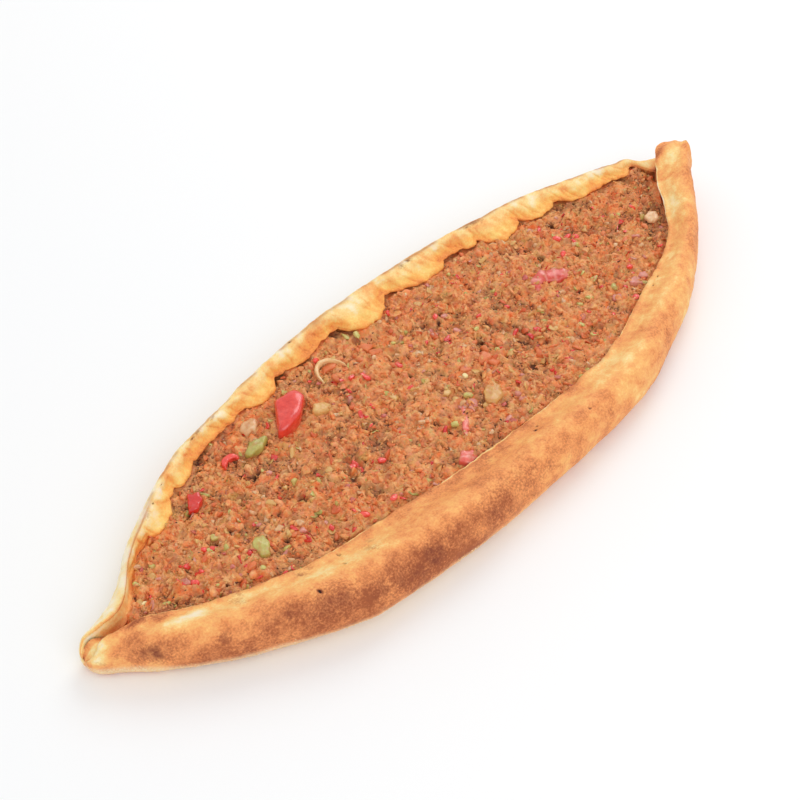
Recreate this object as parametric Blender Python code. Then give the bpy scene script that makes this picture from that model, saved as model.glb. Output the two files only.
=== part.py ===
"""Turkish pide with a minced-meat filling, modelled at its real size.

A boat-shaped bread: one sheet of dough whose two long edges are folded in over the
filling, with a pinched tip at each end. X runs from tip to tip, Y across, Z up, and
the pide lies on Z = 0. The near rim is on the -Y side, the far rim on the +Y side.
"""

import math

import bmesh
import bpy
import numpy as np
from mathutils import Euler, Vector, noise

MM = 0.001

# Driving dimensions
HALF_LENGTH = 200 * MM
GAP = 0.35 * MM  # between solids that touch
LIP = 2.0 * MM  # thickness of the folded edge
UNDERCUT = 5.5 * MM  # how far the filling reaches in under the folded edge
END_ROUND = 7 * MM  # length over which each tip is rounded off

STATIONS = 68  # sections along the bread
STATION_CROWDING = 0.45  # 0 spaces the sections evenly, 1 crowds them at the tips
END_SECTION = 0.998  # the last sections stand just short of the tips, where the outline closes
FILLING_COLUMNS = 13  # points across the top of the filling

# Profiles along the bread, as (position, millimetres): the near tip is at -1 and the far tip at 1.
PROFILES = {
    # y of the outermost edge on each side
    "far_edge": [(-1, 16), (-0.9, 20), (-0.75, 39), (-0.5, 59), (0, 70), (0.5, 60), (0.8, 43), (0.9, 36), (1, 21)],
    "near_edge": [(-1, 3), (-0.9, -15), (-0.75, -38), (-0.5, -61), (-0.2, -69), (0.1, -70), (0.3, -68),
                  (0.5, -58), (0.75, -35), (0.9, -14), (1, 4)],
    # width of each folded rim; the far one's lobes are added to it
    "near_flap": [(-1, 5), (-0.9, 16), (-0.8, 25), (-0.6, 31), (-0.4, 33), (0, 28), (0.3, 24), (0.5, 25),
                  (0.75, 21), (0.93, 26), (1, 14)],
    "far_flap": [(-1, 5), (-0.9, 11), (-0.7, 9), (-0.3, 10), (0, 12), (0.7, 12), (0.9, 11), (0.95, 6), (1, 2)],
    # heights of each rim's crest, of the folded edges and of the trough's floor
    "near_crest": [(-1, 15), (-0.9, 20), (-0.4, 24), (0.3, 22), (0.7, 22), (0.88, 27), (0.94, 31), (1, 34)],
    "far_crest": [(-1, 16), (-0.9, 20), (0.4, 20), (0.8, 19), (1, 16)],
    "lip_height": [(-1, 12), (-0.92, 15), (1, 15)],
    "floor": [(-1, 9), (-0.93, 11), (-0.84, 4.5), (0.86, 4.5), (0.92, 10), (1, 13)],
}
# Lobes of the far rim's folded edge in millimetres: start, tip and end along X, and how far in each one reaches
LOBES = [
    (-145, -135, -125, 5), (-120, -112, -105, 3), (-68, -56, -48, 4), (-40, -28, -18, 2), (-5, 8, 25, 9),
    (30, 52, 62, 5), (76, 80, 84, 2), (85, 95, 110, 8), (110, 118, 132, 5), (135, 145, 160, 3),
]
SHARES = {
    "undercut": [(-1, 0.12), (-0.95, 0.15), (-0.89, 1), (0.9, 1), (0.96, 0.15), (1, 0.12)],
    "tuck": [(-1, 0.5), (-0.9, 0.36), (0, 0.3), (0.9, 0.36), (1, 0.5)],  # of a rim's width, at its foot
    "tip_lift": [(-1, 0.42), (0, 0.5), (1, 0.78)],  # of the height: where a tip's rounding closes
}
CREST_AT = 0.40  # of a rim's width, from the outermost edge in
WIDEST_AT = 0.42  # of the crest's height

FILLING_ENDS = (-0.9, 0.92)
FILLING_CROWN = 1.0 * MM  # how far the middle stands above the sides
FILLING_LUMPS = 0.9 * MM
LUMP_SIZE = 16 * MM
LUMP_SEED = Vector((3.1, 1.7, 0.4))
BELOW_LIP = 0.5 * MM  # the filling's sides stay this far under the folded edges

# Toppings in millimetres: name, shape, centre, (length, width, height), turn, lean, material
TOPPINGS = [
    ("red_pepper_chunk", "chunk", (-59, 38), (23, 14, 9), 20, -24, "pepper_red"),
    ("red_pepper_strip", "arc", (-94, 37), (13, 9, 3.0), 10, 0, "pepper_red"),
    ("red_pepper_end", "chunk", (-120, 33), (9, 8, 5), 40, 0, "pepper_red"),
    ("tomato_piece", "chunk", (88, 6), (33, 10, 5), -28, 0, "tomato"),
    ("tomato_piece_small", "chunk", (-24, -36), (10, 8, 5), 10, 0, "tomato"),
    ("tomato_skin_strip", "chunk", (-9, -21), (21, 3.6, 3.4), 45, 0, "tomato"),
    ("onion_slice", "arc", (-27, 42), (19, 17, 2.2), 0, 12, "onion"),
    ("onion_lump", "chunk", (-75, 45), (9, 7, 6), 35, 0, "onion"),
    ("onion_dice", "chunk", (157, -2), (8, 7, 5), 15, 0, "onion"),
    ("green_pepper_strip", "chunk", (-81, 35), (14, 6, 4.5), 2, 0, "pepper_green"),
    ("green_pepper_dice", "chunk", (-117, -5), (10, 8, 4.5), 60, 0, "pepper_green"),
    ("pale_pepper_slice", "chunk", (-46, 30), (10, 6, 4.5), -20, 0, "pepper_green"),
    ("yellow_pepper_dice", "chunk", (12, -20), (14, 9, 4.5), 25, 0, "pepper_green"),
]
SUNK_SHARE = 0.62  # part of a topping's height that sits in the filling
CHUNK_CUTS = 2
CHUNK_SQUARENESS = 3.2  # 2 is an egg shape, and higher is closer to a box
ARC_TURN = math.radians(150)
ARC_STEPS = 12
ARC_SIDES = 8
ARC_TAPER = 0.8  # how far the strip thins at its ends

COLOURS = {
    "crust": (0.72, 0.38, 0.14),
    "meat": (0.42, 0.17, 0.08),
    "pepper_red": (0.60, 0.03, 0.02),
    "tomato": (0.62, 0.09, 0.07),
    "onion": (0.62, 0.45, 0.26),
    "pepper_green": (0.42, 0.40, 0.10),
}
ROUGHNESS = {"pepper_red": 0.3, "tomato": 0.35, "pepper_green": 0.4}
DRY_ROUGHNESS = 0.75


def smooth_through(keys):
    """A smooth function through (position, value) keys that never overshoots them."""
    at = np.array([key[0] for key in keys], float)
    value = np.array([key[1] for key in keys], float)
    step = np.diff(value) / np.diff(at)
    before, after = step[:-1], step[1:]
    turning = before * after <= 0
    slope = np.zeros(len(value))
    slope[1:-1] = np.where(turning, 0.0, 2 * before * after / np.where(turning, 1.0, before + after))

    def read(t):
        i = int(np.clip(np.searchsorted(at, t) - 1, 0, len(at) - 2))
        span = at[i + 1] - at[i]
        s = min(max((t - at[i]) / span, 0.0), 1.0)
        rise = s * s * (3 - 2 * s)
        bend = span * (slope[i] * s * (1 - s) ** 2 - slope[i + 1] * s * s * (1 - s))
        return float(value[i] + rise * (value[i + 1] - value[i]) + bend)

    return read


SIZE_AT = {name: smooth_through(keys) for name, keys in PROFILES.items()}
SHARE_AT = {name: smooth_through(keys) for name, keys in SHARES.items()}


def size_at(name, t):
    """A profile's value in metres at a position between the tips."""
    return SIZE_AT[name](t) * MM


def far_width(t):
    """Width of the far rim, whose folded edge ends in uneven lobes."""
    x = t * HALF_LENGTH / MM
    reach = 0.0
    for start, tip, end, furthest in LOBES:
        if start < x < end:
            share = (x - start) / (tip - start) if x < tip else (end - x) / (end - tip)
            reach = furthest * math.sin(share * math.pi / 2)
    return size_at("far_flap", t) + reach * MM


def stations():
    """Positions from tip to tip, closer together near the ends."""
    even = np.linspace(-1, 1, STATIONS)
    crowded = np.sin(even * math.pi / 2)
    return ((1 - STATION_CROWDING) * even + STATION_CROWDING * crowded).tolist()


def end_rounding(t):
    """1 along the bread, falling to 0 at each tip as a quarter circle does."""
    left = (1 - abs(t)) * HALF_LENGTH
    if left >= END_ROUND:
        return 1.0
    return math.sqrt(1 - (1 - left / END_ROUND) ** 2)


def rim(width, crest, t):
    """One folded rim as (distance in from the outermost edge, height), from its foot over the top to the trough."""
    lip = size_at("lip_height", t)
    floor = size_at("floor", t)
    wall = width - UNDERCUT * SHARE_AT["undercut"](t)
    foot = SHARE_AT["tuck"](t) * width
    widest = WIDEST_AT * crest
    top = CREST_AT * width
    points = []
    for degrees in (0, 30, 60):
        a = math.radians(degrees)
        points.append((foot * (1 - math.sin(a)), widest * (1 - math.cos(a))))
    for degrees in (0, 22.5, 45, 67.5):
        a = math.radians(degrees)
        points.append((top * (1 - math.cos(a)), widest + (crest - widest) * math.sin(a)))
    for share in (0, 0.3, 0.6, 0.85):
        droop = (1 - math.cos(share * math.pi)) / 2
        points.append((top + (width - LIP / 2 - top) * share, crest + (lip + LIP / 2 - crest) * droop))
    points.append((width - 0.3 * LIP, lip + 0.45 * LIP))
    points.append((width, lip))
    points.append((width - 0.4 * LIP, lip - 0.5 * LIP))
    points.append((wall, lip - 0.75 * LIP))
    points.append((wall, floor + 0.35 * (lip - 0.5 * LIP - floor)))
    points.append((wall + 0.25 * (width - wall), floor))
    return points


def rims_at(t):
    """The (y, z) points of the near and the far rim at a station."""
    near = rim(size_at("near_flap", t), size_at("near_crest", t), t)
    far = rim(far_width(t), size_at("far_crest", t), t)
    near_edge, far_edge = size_at("near_edge", t), size_at("far_edge", t)
    return [(near_edge + inward, z) for inward, z in near], [(far_edge - inward, z) for inward, z in far]


def dough_section(t):
    """The dough's closed outline at a station, as (y, z) points, drawn together near the tips."""
    near, far = rims_at(t)
    under = ((near[0][0] + far[0][0]) / 2, 0.0)
    middle = ((near[-1][0] + far[-1][0]) / 2, size_at("floor", t))
    outline = [under] + far + [middle] + near[::-1]
    shrink = end_rounding(t)
    centre_y = (size_at("far_edge", t) + size_at("near_edge", t)) / 2
    centre_z = SHARE_AT["tip_lift"](t) * max(z for _, z in outline)
    return [(centre_y + (y - centre_y) * shrink, centre_z + (z - centre_z) * shrink) for y, z in outline]


def filling_section(t):
    """The filling's outline at a station: it fills the trough in under both lips and stays GAP clear of the dough."""
    near, far = rims_at(t)
    bottom = size_at("floor", t) + GAP
    side = size_at("lip_height", t) - 0.75 * LIP - BELOW_LIP
    near_wall, far_wall = near[-2][0] + GAP, far[-2][0] - GAP
    near_corner, far_corner = near[-1][0] + GAP, far[-1][0] - GAP
    turn = near[-2][1]
    outline = [((near_corner + far_corner) / 2, bottom), (far_corner, bottom), (far_wall, turn), (far_wall, side)]
    outline += filling_top(t, side)
    outline += [(near_wall, side), (near_wall, turn), (near_corner, bottom)]
    return outline


def filling_top(t, side):
    """The open top of the filling, from the far lip to the near one: crowned and lumpy between level sides."""
    open_far = size_at("far_edge", t) - far_width(t) - LIP
    open_near = size_at("near_edge", t) + size_at("near_flap", t) + LIP
    points = []
    for share in np.linspace(0, 1, FILLING_COLUMNS).tolist():
        y = open_far + (open_near - open_far) * share
        lumps = noise.noise(Vector((t * HALF_LENGTH, y, 0)) / LUMP_SIZE + LUMP_SEED)
        crown = math.sqrt(math.sin(math.pi * share)) if 0 < share < 1 else 0.0
        points.append((y, side + crown * (FILLING_CROWN + FILLING_LUMPS * lumps)))
    return points


def surface_height(x, y):
    """Height of the filling's top at a point."""
    t = x / HALF_LENGTH
    top = np.array(filling_top(t, size_at("lip_height", t) - 0.75 * LIP - BELOW_LIP))[::-1]
    return float(np.interp(y, top[:, 0], top[:, 1]))


def object_from(mesh, name, material, collection="pide"):
    """A smooth-shaded object from a bmesh, linked to its collection."""
    data = bpy.data.meshes.new(name)
    mesh.to_mesh(data)
    mesh.free()
    data.materials.append(material)
    data.shade_smooth()
    data.set_sharp_from_angle(angle=math.radians(50))
    made = bpy.data.objects.new(name, data)
    bpy.data.collections[collection].objects.link(made)
    return made


def loft(sections):
    """A closed shell through sections, each (x, [(y, z), ...]) with equal counts, that ends in a fan at both ends."""
    mesh = bmesh.new()
    rings = [[mesh.verts.new((x, y, z)) for y, z in outline] for x, outline in sections]
    count = len(rings[0])
    for low, high in zip(rings, rings[1:]):
        for i in range(count):
            j = (i + 1) % count
            mesh.faces.new((low[i], low[j], high[j], high[i]))
    for ring in (rings[0], rings[-1]):
        hub = mesh.verts.new(sum((vert.co for vert in ring), Vector()) / count)
        for i in range(count):
            mesh.faces.new((ring[i], ring[(i + 1) % count], hub))
    bmesh.ops.recalc_face_normals(mesh, faces=mesh.faces)
    return mesh


def build_dough(material):
    places = [min(max(t, -END_SECTION), END_SECTION) for t in stations()]
    return object_from(loft([(t * HALF_LENGTH, dough_section(t)) for t in places]), "dough", material)


def build_filling(material):
    places = [t for t in stations() if FILLING_ENDS[0] <= t <= FILLING_ENDS[1]]
    return object_from(loft([(t * HALF_LENGTH, filling_section(t)) for t in places]), "filling", material)


def chunk_mesh(size):
    """A chopped piece: a box with rounded edges and bulging sides."""
    mesh = bmesh.new()
    bmesh.ops.create_cube(mesh, size=2)
    bmesh.ops.subdivide_edges(mesh, edges=mesh.edges[:], cuts=CHUNK_CUTS, use_grid_fill=True)
    for vert in mesh.verts:
        vert.co /= sum(abs(c) ** CHUNK_SQUARENESS for c in vert.co) ** (1 / CHUNK_SQUARENESS)
    bmesh.ops.scale(mesh, vec=size / 2, verts=mesh.verts)
    return mesh


def arc_mesh(size):
    """A curved strip that lies flat, such as part of an onion's or a pepper's ring, thinner at its ends."""
    mesh = bmesh.new()
    rings = []
    for along in np.linspace(-1, 1, ARC_STEPS + 1).tolist():
        angle = ARC_TURN / 2 * along
        outward = Vector((math.sin(angle), math.cos(angle), 0))
        centre = Vector((outward.x * (size.x - size.z) / 2, (outward.y - 0.5) * (size.y - size.z), 0))
        thick = size.z / 2 * math.sqrt(1 - ARC_TAPER * along ** 2)
        ring = []
        for k in range(ARC_SIDES):
            turn = math.tau * k / ARC_SIDES
            offset = outward * math.cos(turn) + Vector((0, 0, math.sin(turn)))
            ring.append(mesh.verts.new(centre + offset * thick))
        rings.append(ring)
    for low, high in zip(rings, rings[1:]):
        for k in range(ARC_SIDES):
            j = (k + 1) % ARC_SIDES
            mesh.faces.new((low[k], low[j], high[j], high[k]))
    mesh.faces.new(rings[0])
    mesh.faces.new(rings[-1])
    bmesh.ops.recalc_face_normals(mesh, faces=mesh.faces)
    return mesh


def build_toppings(filling, materials):
    """Each topping sits in a pocket that is cut in the filling, GAP larger than the topping all round."""
    shapes = {"chunk": chunk_mesh, "arc": arc_mesh}
    for name, shape, centre, size, turn, lean, material in TOPPINGS:
        real = Vector(size) * MM
        x, y = centre[0] * MM, centre[1] * MM
        place = Vector((x, y, surface_height(x, y) + real.z * (0.5 - SUNK_SHARE)))
        rotation = Euler((math.radians(lean), 0, math.radians(turn)))
        roomy = real + Vector((1, 1, 1)) * 2 * GAP
        piece = object_from(shapes[shape](real), name, materials[material])
        pocket = object_from(shapes[shape](roomy), name + "_pocket", materials[material], "cutters")
        for made in (piece, pocket):
            made.location = place
            made.rotation_euler = rotation
        pocket.hide_render = True
        pocket.display_type = "WIRE"
        cut = filling.modifiers.new(name, "BOOLEAN")
        cut.operation = "DIFFERENCE"
        cut.object = pocket


def make_material(name):
    material = bpy.data.materials.new(name)
    material.use_nodes = True
    shader = material.node_tree.nodes["Principled BSDF"]
    shader.inputs["Base Color"].default_value = (*COLOURS[name], 1)
    shader.inputs["Roughness"].default_value = ROUGHNESS.get(name, DRY_ROUGHNESS)
    shader.inputs["Metallic"].default_value = 0.0
    return material


def main():
    for obj in list(bpy.data.objects):
        bpy.data.objects.remove(obj)
    for name in ("pide", "cutters"):
        bpy.context.scene.collection.children.link(bpy.data.collections.new(name))
    materials = {name: make_material(name) for name in COLOURS}
    build_dough(materials["crust"])
    filling = build_filling(materials["meat"])
    build_toppings(filling, materials)


main()
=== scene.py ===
"""Looks of a Turkish pide: a boat of baked dough with a minced-meat filling and chopped vegetables.

X runs from tip to tip, Y across and Z up, and the pide lies on Z = 0. The near rim is on the -Y side and
the far rim on the +Y side. Lengths in the tables are millimetres, and positions along the pide run from -1 at
the near tip to 1 at the far tip. A rim's mark says where a point lies on it: 0 at its foot, 0.3 at its widest,
0.6 on the crest, 1 on the folded edge and above 1 on the hidden wall behind that edge.
"""

import math

import bmesh
import bpy
import numpy as np
from bpy.props import FloatProperty, FloatVectorProperty, IntProperty, PointerProperty
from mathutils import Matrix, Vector, noise
from mathutils.bvhtree import BVHTree


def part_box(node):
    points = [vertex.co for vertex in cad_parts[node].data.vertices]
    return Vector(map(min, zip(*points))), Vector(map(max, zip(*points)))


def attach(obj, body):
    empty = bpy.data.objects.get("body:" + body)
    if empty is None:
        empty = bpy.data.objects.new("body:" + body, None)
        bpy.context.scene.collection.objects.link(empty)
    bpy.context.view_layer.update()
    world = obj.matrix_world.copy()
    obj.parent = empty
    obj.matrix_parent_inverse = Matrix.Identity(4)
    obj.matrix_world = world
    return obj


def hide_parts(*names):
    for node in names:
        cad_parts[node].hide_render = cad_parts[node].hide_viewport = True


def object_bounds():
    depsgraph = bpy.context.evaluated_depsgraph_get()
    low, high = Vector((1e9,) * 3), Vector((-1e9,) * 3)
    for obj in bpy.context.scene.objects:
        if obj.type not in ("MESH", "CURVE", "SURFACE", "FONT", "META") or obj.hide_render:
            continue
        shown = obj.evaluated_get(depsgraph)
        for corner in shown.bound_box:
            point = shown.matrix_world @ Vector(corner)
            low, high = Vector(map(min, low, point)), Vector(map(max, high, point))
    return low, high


bl_info = {
    "name": "Turkish Pide",
    "version": (1, 0, 0),
    "blender": (4, 5, 0),
    "location": "3D View > Sidebar > Pide",
    "description": "Bakes the crust, fills it and dresses it with chopped vegetables",
    "category": "Add Mesh",
}

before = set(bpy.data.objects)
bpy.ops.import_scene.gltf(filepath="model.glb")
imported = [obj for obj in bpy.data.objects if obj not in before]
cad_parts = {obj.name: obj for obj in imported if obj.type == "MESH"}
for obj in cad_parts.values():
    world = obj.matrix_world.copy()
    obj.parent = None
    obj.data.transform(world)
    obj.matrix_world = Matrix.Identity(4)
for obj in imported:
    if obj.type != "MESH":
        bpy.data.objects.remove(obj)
CAD_BOX = [list(corner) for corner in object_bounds()]

MM = 0.001
HALF_LENGTH = (CAD_BOX[1][0] - CAD_BOX[0][0]) / 2 / MM
# Length over which the near and the far tip are rounded off, to their sides, above and below
END_ROUND = {"side": (7.0, 2.2), "top": (7.0, 1.2), "bottom": (7.0, 14.0)}
END_SECTION = 0.998  # the last sections stand just short of the tips

# Profiles along the bread, as (position, millimetres)
PROFILES = {
    "far_edge": [(-1, 16), (-0.9, 20), (-0.75, 39), (-0.5, 59), (0, 70), (0.5, 60), (0.8, 43), (0.9, 36), (1, 21)],
    "near_edge": [(-1, 3), (-0.9, -15), (-0.75, -38), (-0.5, -61), (-0.2, -69), (0.1, -70), (0.3, -68),
                  (0.5, -58), (0.75, -35), (0.9, -14), (1, 3)],
    "near_flap": [(-1, 2), (-0.95, 11), (-0.9, 20), (-0.85, 25), (-0.7, 29), (-0.4, 33), (0, 28), (0.35, 24),
                  (0.5, 24), (0.75, 18), (0.82, 22), (0.88, 27), (0.93, 26), (0.96, 22), (1, 12)],
    "far_flap": [(-1, 4), (-0.95, 8), (-0.88, 12), (-0.8, 8), (-0.7, 9), (-0.3, 10), (0, 12), (0.7, 12),
                 (0.87, 13), (0.91, 7), (0.93, 15), (1, 6)],
    "near_crest": [(-1, 15), (-0.9, 20), (-0.4, 24), (0.3, 22), (0.7, 22), (0.88, 27), (0.94, 30.5), (0.97, 32), (1, 32.6)],
    "far_crest": [(-1, 16), (-0.9, 20), (0.4, 20), (0.8, 19), (1, 16.5)],
    "near_lip": [(-1, 13), (-0.95, 17), (-0.88, 17), (-0.8, 15), (0.6, 15), (0.75, 16), (0.88, 22), (0.96, 27.5),
                 (1, 28)],
    "far_lip": [(-1, 13), (-0.95, 10), (-0.92, 10), (-0.87, 13), (-0.5, 14.5), (0.88, 15), (1, 16)],
    "floor": [(-1, 13), (-0.97, 15), (-0.93, 10), (-0.84, 4.5), (0.86, 4.5), (0.92, 9), (1, 13)],
    "undercut": [(-1, 0.6), (-0.9, 2), (-0.6, 5), (0.88, 5), (0.95, 1), (1, 0.6)],
}
SHARES = {
    "tuck": [(-1, 0.5), (-0.9, 0.36), (0, 0.3), (0.9, 0.36), (1, 0.5)],  # of a rim's width, at its foot
    "tip_lift": [(-1, 0.42), (0, 0.5), (1, 0.78)],  # of the height: where a tip's rounding closes
    "near_crest_at": [(-1, 0.4), (1, 0.4)],  # of a rim's width, from its outermost edge in
    "far_crest_at": [(-1, 0.5), (-0.9, 0.8), (-0.8, 0.75), (-0.6, 0.4), (1, 0.4)],
}
WIDEST_AT = 0.42  # of the crest's height

# Lobes of the far rim's folded edge, which sag onto the filling: start, tip and end along X, and how far in
LOBES = [
    (-145, -135, -125, 5), (-120, -112, -105, 3), (-68, -56, -48, 4), (-40, -28, -18, 2), (-5, 8, 25, 9),
    (30, 52, 62, 5), (76, 80, 84, 2), (85, 95, 110, 8), (110, 118, 132, 5), (135, 145, 160, 3),
]
LOBE_SAG = 0.8  # how far a lobe's tip lies under the edge's own height
GAP_LIFT = 0.2  # how far the edge stands off the filling between lobes
FOLD_LEAN = 15.0  # creases run this far towards the near tip for each mark from the edge to the crest
FOLD_PUFF = 0.6  # how far a lobe swells

# Grooves and hollows pressed into the tips' folds: start and end in plan, width and depth
GROOVES = [
    ((174, 7), (184, 0), 1.1, 0.35), ((187, 7), (194, 10), 4.0, 1.4), ((181, 14), (198, 14), 2.2, -0.8),
]
# Three creases that fan out over the little cushion at the near tip
GROOVES += [((-199, 10 - 3 * i), (-193, 8 - 2.5 * i), 0.7, 0.5) for i in range(3)]

FILLING_ENDS = (-0.9, 0.93)
OPEN_AREA = 0.0195  # of the filling between the rims, in square metres
FILLING_LEVEL = -1.9  # the filling's sides, measured from the folded edge
# Where the filling shrank away from the far rim: middle, half length, and how deep; each gap also takes a painted
# shadow
GAPS = [
    (-100, 5, 1.4), (-45, 4, 2.4), (-30, 4, 1.6), (-5, 5, 1.8), (30, 12, 1.0), (70, 12, 1.0), (130, 12, 0.9),
    (175, 5, 0.8),
]
FAR_HEAP = 1.1  # how much higher the filling lies beside the far rim

# Browning across each rim, as (mark, share): 0 is pale cream dough and 1 is deep brown crust; on the near rim the pale
# dip about mark 0.99 is a painted highlight along the folded edge
NEAR_BAKE_AND_HIGHLIGHT = [(0, 0.6), (0.2, 0.6), (0.32, 0.56), (0.4, 0.58), (0.48, 0.55), (0.55, 0.52), (0.62, 0.47), (0.7, 0.42),
             (0.8, 0.4), (0.88, 0.46), (0.95, 0.5), (0.975, 0.4), (0.99, 0.12), (1.03, 0.2), (1.1, 0.5), (1.3, 0.6)]
FAR_BAKE = [(0, 0.4), (0.3, 0.2), (0.5, 0.16), (0.62, 0.2), (0.7, 0.2), (0.78, 0.21), (0.85, 0.25), (0.92, 0.33),
            (1.0, 0.44), (1.08, 0.5), (1.3, 0.7)]
# How much browner the near rim's outer and upper sides are along the bread, as (position, share)
OUTER_BAKE = [(-1, -0.04), (-0.9, 0.1), (-0.75, 0.22), (-0.55, 0.28), (-0.35, 0.32), (-0.15, 0.17), (0.05, -0.02),
              (0.25, -0.08), (0.45, -0.1), (0.65, -0.06), (1, -0.05)]
UPPER_BAKE = [(-1, 0), (-0.75, -0.1), (-0.55, -0.1), (-0.35, 0.02), (-0.15, 0.17), (0.05, -0.03), (0.25, -0.04),
              (0.45, -0.09), (1, -0.08)]

# Browner and paler patches on the tips, seen from above: x, y, half length, half width, turn, share
# The pale patches at x -170 and -158 are painted highlights on the near rim's crest by the near tip; the brown strip at
# (-184, 8.5) is painted shade in the near tip's pocket
TONE_AND_LIGHT_PATCHES = [
    (185, 16.5, 8, 2.6, 5, 0.5), (190, 9, 6, 4, 0, -0.12), (178.5, 3.5, 6, 1.0, -37, 0.2), (186, -5, 11, 4, 25, 0.12),
    (-194, 9, 6, 6, 0, -0.42), (-197, 3, 4, 4, 0, -0.25), (-184, 8.5, 5, 1.2, -10, 0.2), (-177, 3.5, 4, 2, -10, 0.5),
    (-180, 12, 9, 5, 20, -0.04), (-183, -4, 9, 5, -20, 0.16), (168, -6, 6, 8, 0, -0.12), (150, -20, 8, 6, -30, 0.12),
    (-170, -8.5, 8, 4, -28, -0.14), (-158, -12, 9, 4, -30, -0.2), (-140, -20, 12, 4, -25, -0.12),
    (-170, -3, 3.5, 2, -20, 0.4),
]

# Scorched spots: rim, x, mark, length along the rim, spread across it in marks, strength
SCORCHES = [
    ("near", -181, 0.43, 3.2, 0.06, 0.9), ("near", -119, 0.49, 8, 0.07, 0.4), ("near", -126, 0.44, 6, 0.05, 0.3),
    ("near", -92, 0.40, 8, 0.05, 0.35), ("near", -76, 0.42, 5, 0.06, 0.95), ("near", -84, 0.38, 6, 0.05, 0.6),
    ("near", -104, 0.42, 6, 0.05, 0.3), ("near", -42, 0.42, 4, 0.04, 0.35), ("near", -30, 0.50, 12, 0.06, 0.2),
    ("near", -56, 0.975, 6, 0.02, 0.6), ("near", -174, 0.95, 5, 0.05, 0.45), ("near", -168, 0.97, 2.5, 0.03, 0.4),
    ("near", -141, 0.93, 1.4, 0.03, 0.4), ("near", -144, 0.82, 2, 0.07, 0.2), ("near", -118, 0.88, 1.8, 0.03, 0.45),
    ("near", -113, 0.93, 1.2, 0.02, 0.4), ("near", -87, 0.85, 1.2, 0.03, 0.35), ("near", -91, 0.76, 1.5, 0.05, 0.3),
    ("near", -20, 0.88, 2, 0.03, 0.35),
    ("far", -99, 0.63, 1.6, 0.03, 0.6), ("far", -95, 0.60, 1.5, 0.05, 0.5), ("far", -85, 0.62, 1.2, 0.03, 0.6),
    ("far", 42, 0.63, 1.4, 0.03, 0.7), ("far", 47, 0.60, 1.6, 0.03, 0.6), ("far", 88, 0.60, 5, 0.04, 0.6),
    ("far", 84, 0.64, 1.2, 0.02, 0.7), ("far", -140, 0.66, 1.6, 0.03, 0.35),
]
# Pinholes through the crust: rim, x, mark, radius
PINHOLES = [
    ("near", -122, 0.565, 0.9), ("near", 4, 0.79, 0.8), ("near", 6.6, 0.82, 0.7), ("near", 114, 0.87, 0.6),
    ("near", 120.5, 0.88, 0.5), ("near", -104, 0.74, 0.5), ("near", -100, 0.9, 0.5), ("near", 27, 0.56, 0.5),
    ("far", -30, 0.57, 0.9), ("far", -99, 0.63, 0.6), ("far", 47, 0.61, 0.7), ("far", -125, 0.68, 0.4),
    ("far", -134, 0.66, 0.4),
]


def linear(code):
    """An sRGB hex colour as linear red, green and blue."""
    channels = [int(code[i:i + 2], 16) / 255 for i in (1, 3, 5)]
    return [c / 12.92 if c <= 0.04045 else ((c + 0.055) / 1.055) ** 2.4 for c in channels]


def smooth_through(keys):
    """A smooth function through (position, value) keys that never overshoots them, for arrays of positions."""
    at = np.array([key[0] for key in keys], float)
    value = np.array([key[1] for key in keys], float)
    step = np.diff(value) / np.diff(at)
    before, after = step[:-1], step[1:]
    turning = before * after <= 0
    slope = np.zeros(len(value))
    slope[1:-1] = np.where(turning, 0.0, 2 * before * after / np.where(turning, 1.0, before + after))

    def read(t):
        i = np.clip(np.searchsorted(at, t) - 1, 0, len(at) - 2)
        span = at[i + 1] - at[i]
        s = np.clip((t - at[i]) / span, 0, 1)
        rise = s * s * (3 - 2 * s)
        bend = span * (slope[i] * s * (1 - s) ** 2 - slope[i + 1] * s * s * (1 - s))
        return value[i] + rise * (value[i + 1] - value[i]) + bend

    return read


READ = {name: smooth_through(keys) for name, keys in {**PROFILES, **SHARES}.items()}
BROWNING_AND_LIGHT = {"near": smooth_through(NEAR_BAKE_AND_HIGHLIGHT), "far": smooth_through(FAR_BAKE),
        "outer": smooth_through(OUTER_BAKE), "upper": smooth_through(UPPER_BAKE)}


def ramp(value, low, high):
    """0 below low, 1 above high and smooth between; with low above high it falls instead."""
    s = np.clip((value - low) / (high - low), 0, 1)
    return s * s * (3 - 2 * s)


def spot(value, centre, width):
    """1 at the centre, fading like a bell over the width."""
    return np.exp(-((value - centre) / width) ** 2)


def lumps(points, size, salt=0.0):
    """Smooth noise of about -0.7 to 0.7 at each point, with lumps of a size in millimetres."""
    flat = np.asarray(points).reshape(-1, 3) / size + salt
    return np.array([noise.noise(Vector(p)) for p in flat.tolist()]).reshape(points.shape[:-1])


def cells(points, size, salt=0.0):
    """For each point: distance to the nearest and the next crumb centre in cell sizes, and that crumb's own number
    from 0 to 1."""
    flat = np.asarray(points).reshape(-1, 3) / size + salt
    near, following, own = [], [], []
    for point in flat.tolist():
        distances, centres = noise.voronoi(Vector(point))
        near.append(distances[0])
        following.append(distances[1])
        own.append(noise.cell(centres[0] * 37.1) / 2 + 0.5)
    shape = points.shape[:-1]
    return np.array(near).reshape(shape), np.array(following).reshape(shape), np.array(own).reshape(shape)


def on_plane(x, y, z=0.0):
    """Points at x and y, at one height."""
    return np.stack([x, y, np.full_like(x, z)], -1)


def stations(count, crowding, ends=(-1, 1)):
    """Positions along the bread, closer together near the tips."""
    even = np.linspace(-1, 1, count)
    crowded = (1 - crowding) * even + crowding * np.sin(even * math.pi / 2)
    return (ends[0] + ends[1]) / 2 + crowded * (ends[1] - ends[0]) / 2


def end_rounding(t, part="side"):
    """1 along the bread, falling to 0 at each tip as a quarter circle does."""
    reach = np.where(t < 0, *END_ROUND[part])
    left = np.clip((1 - np.abs(t)) * HALF_LENGTH / reach, 0, 1)
    return np.sqrt(1 - (1 - left) ** 2)


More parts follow.
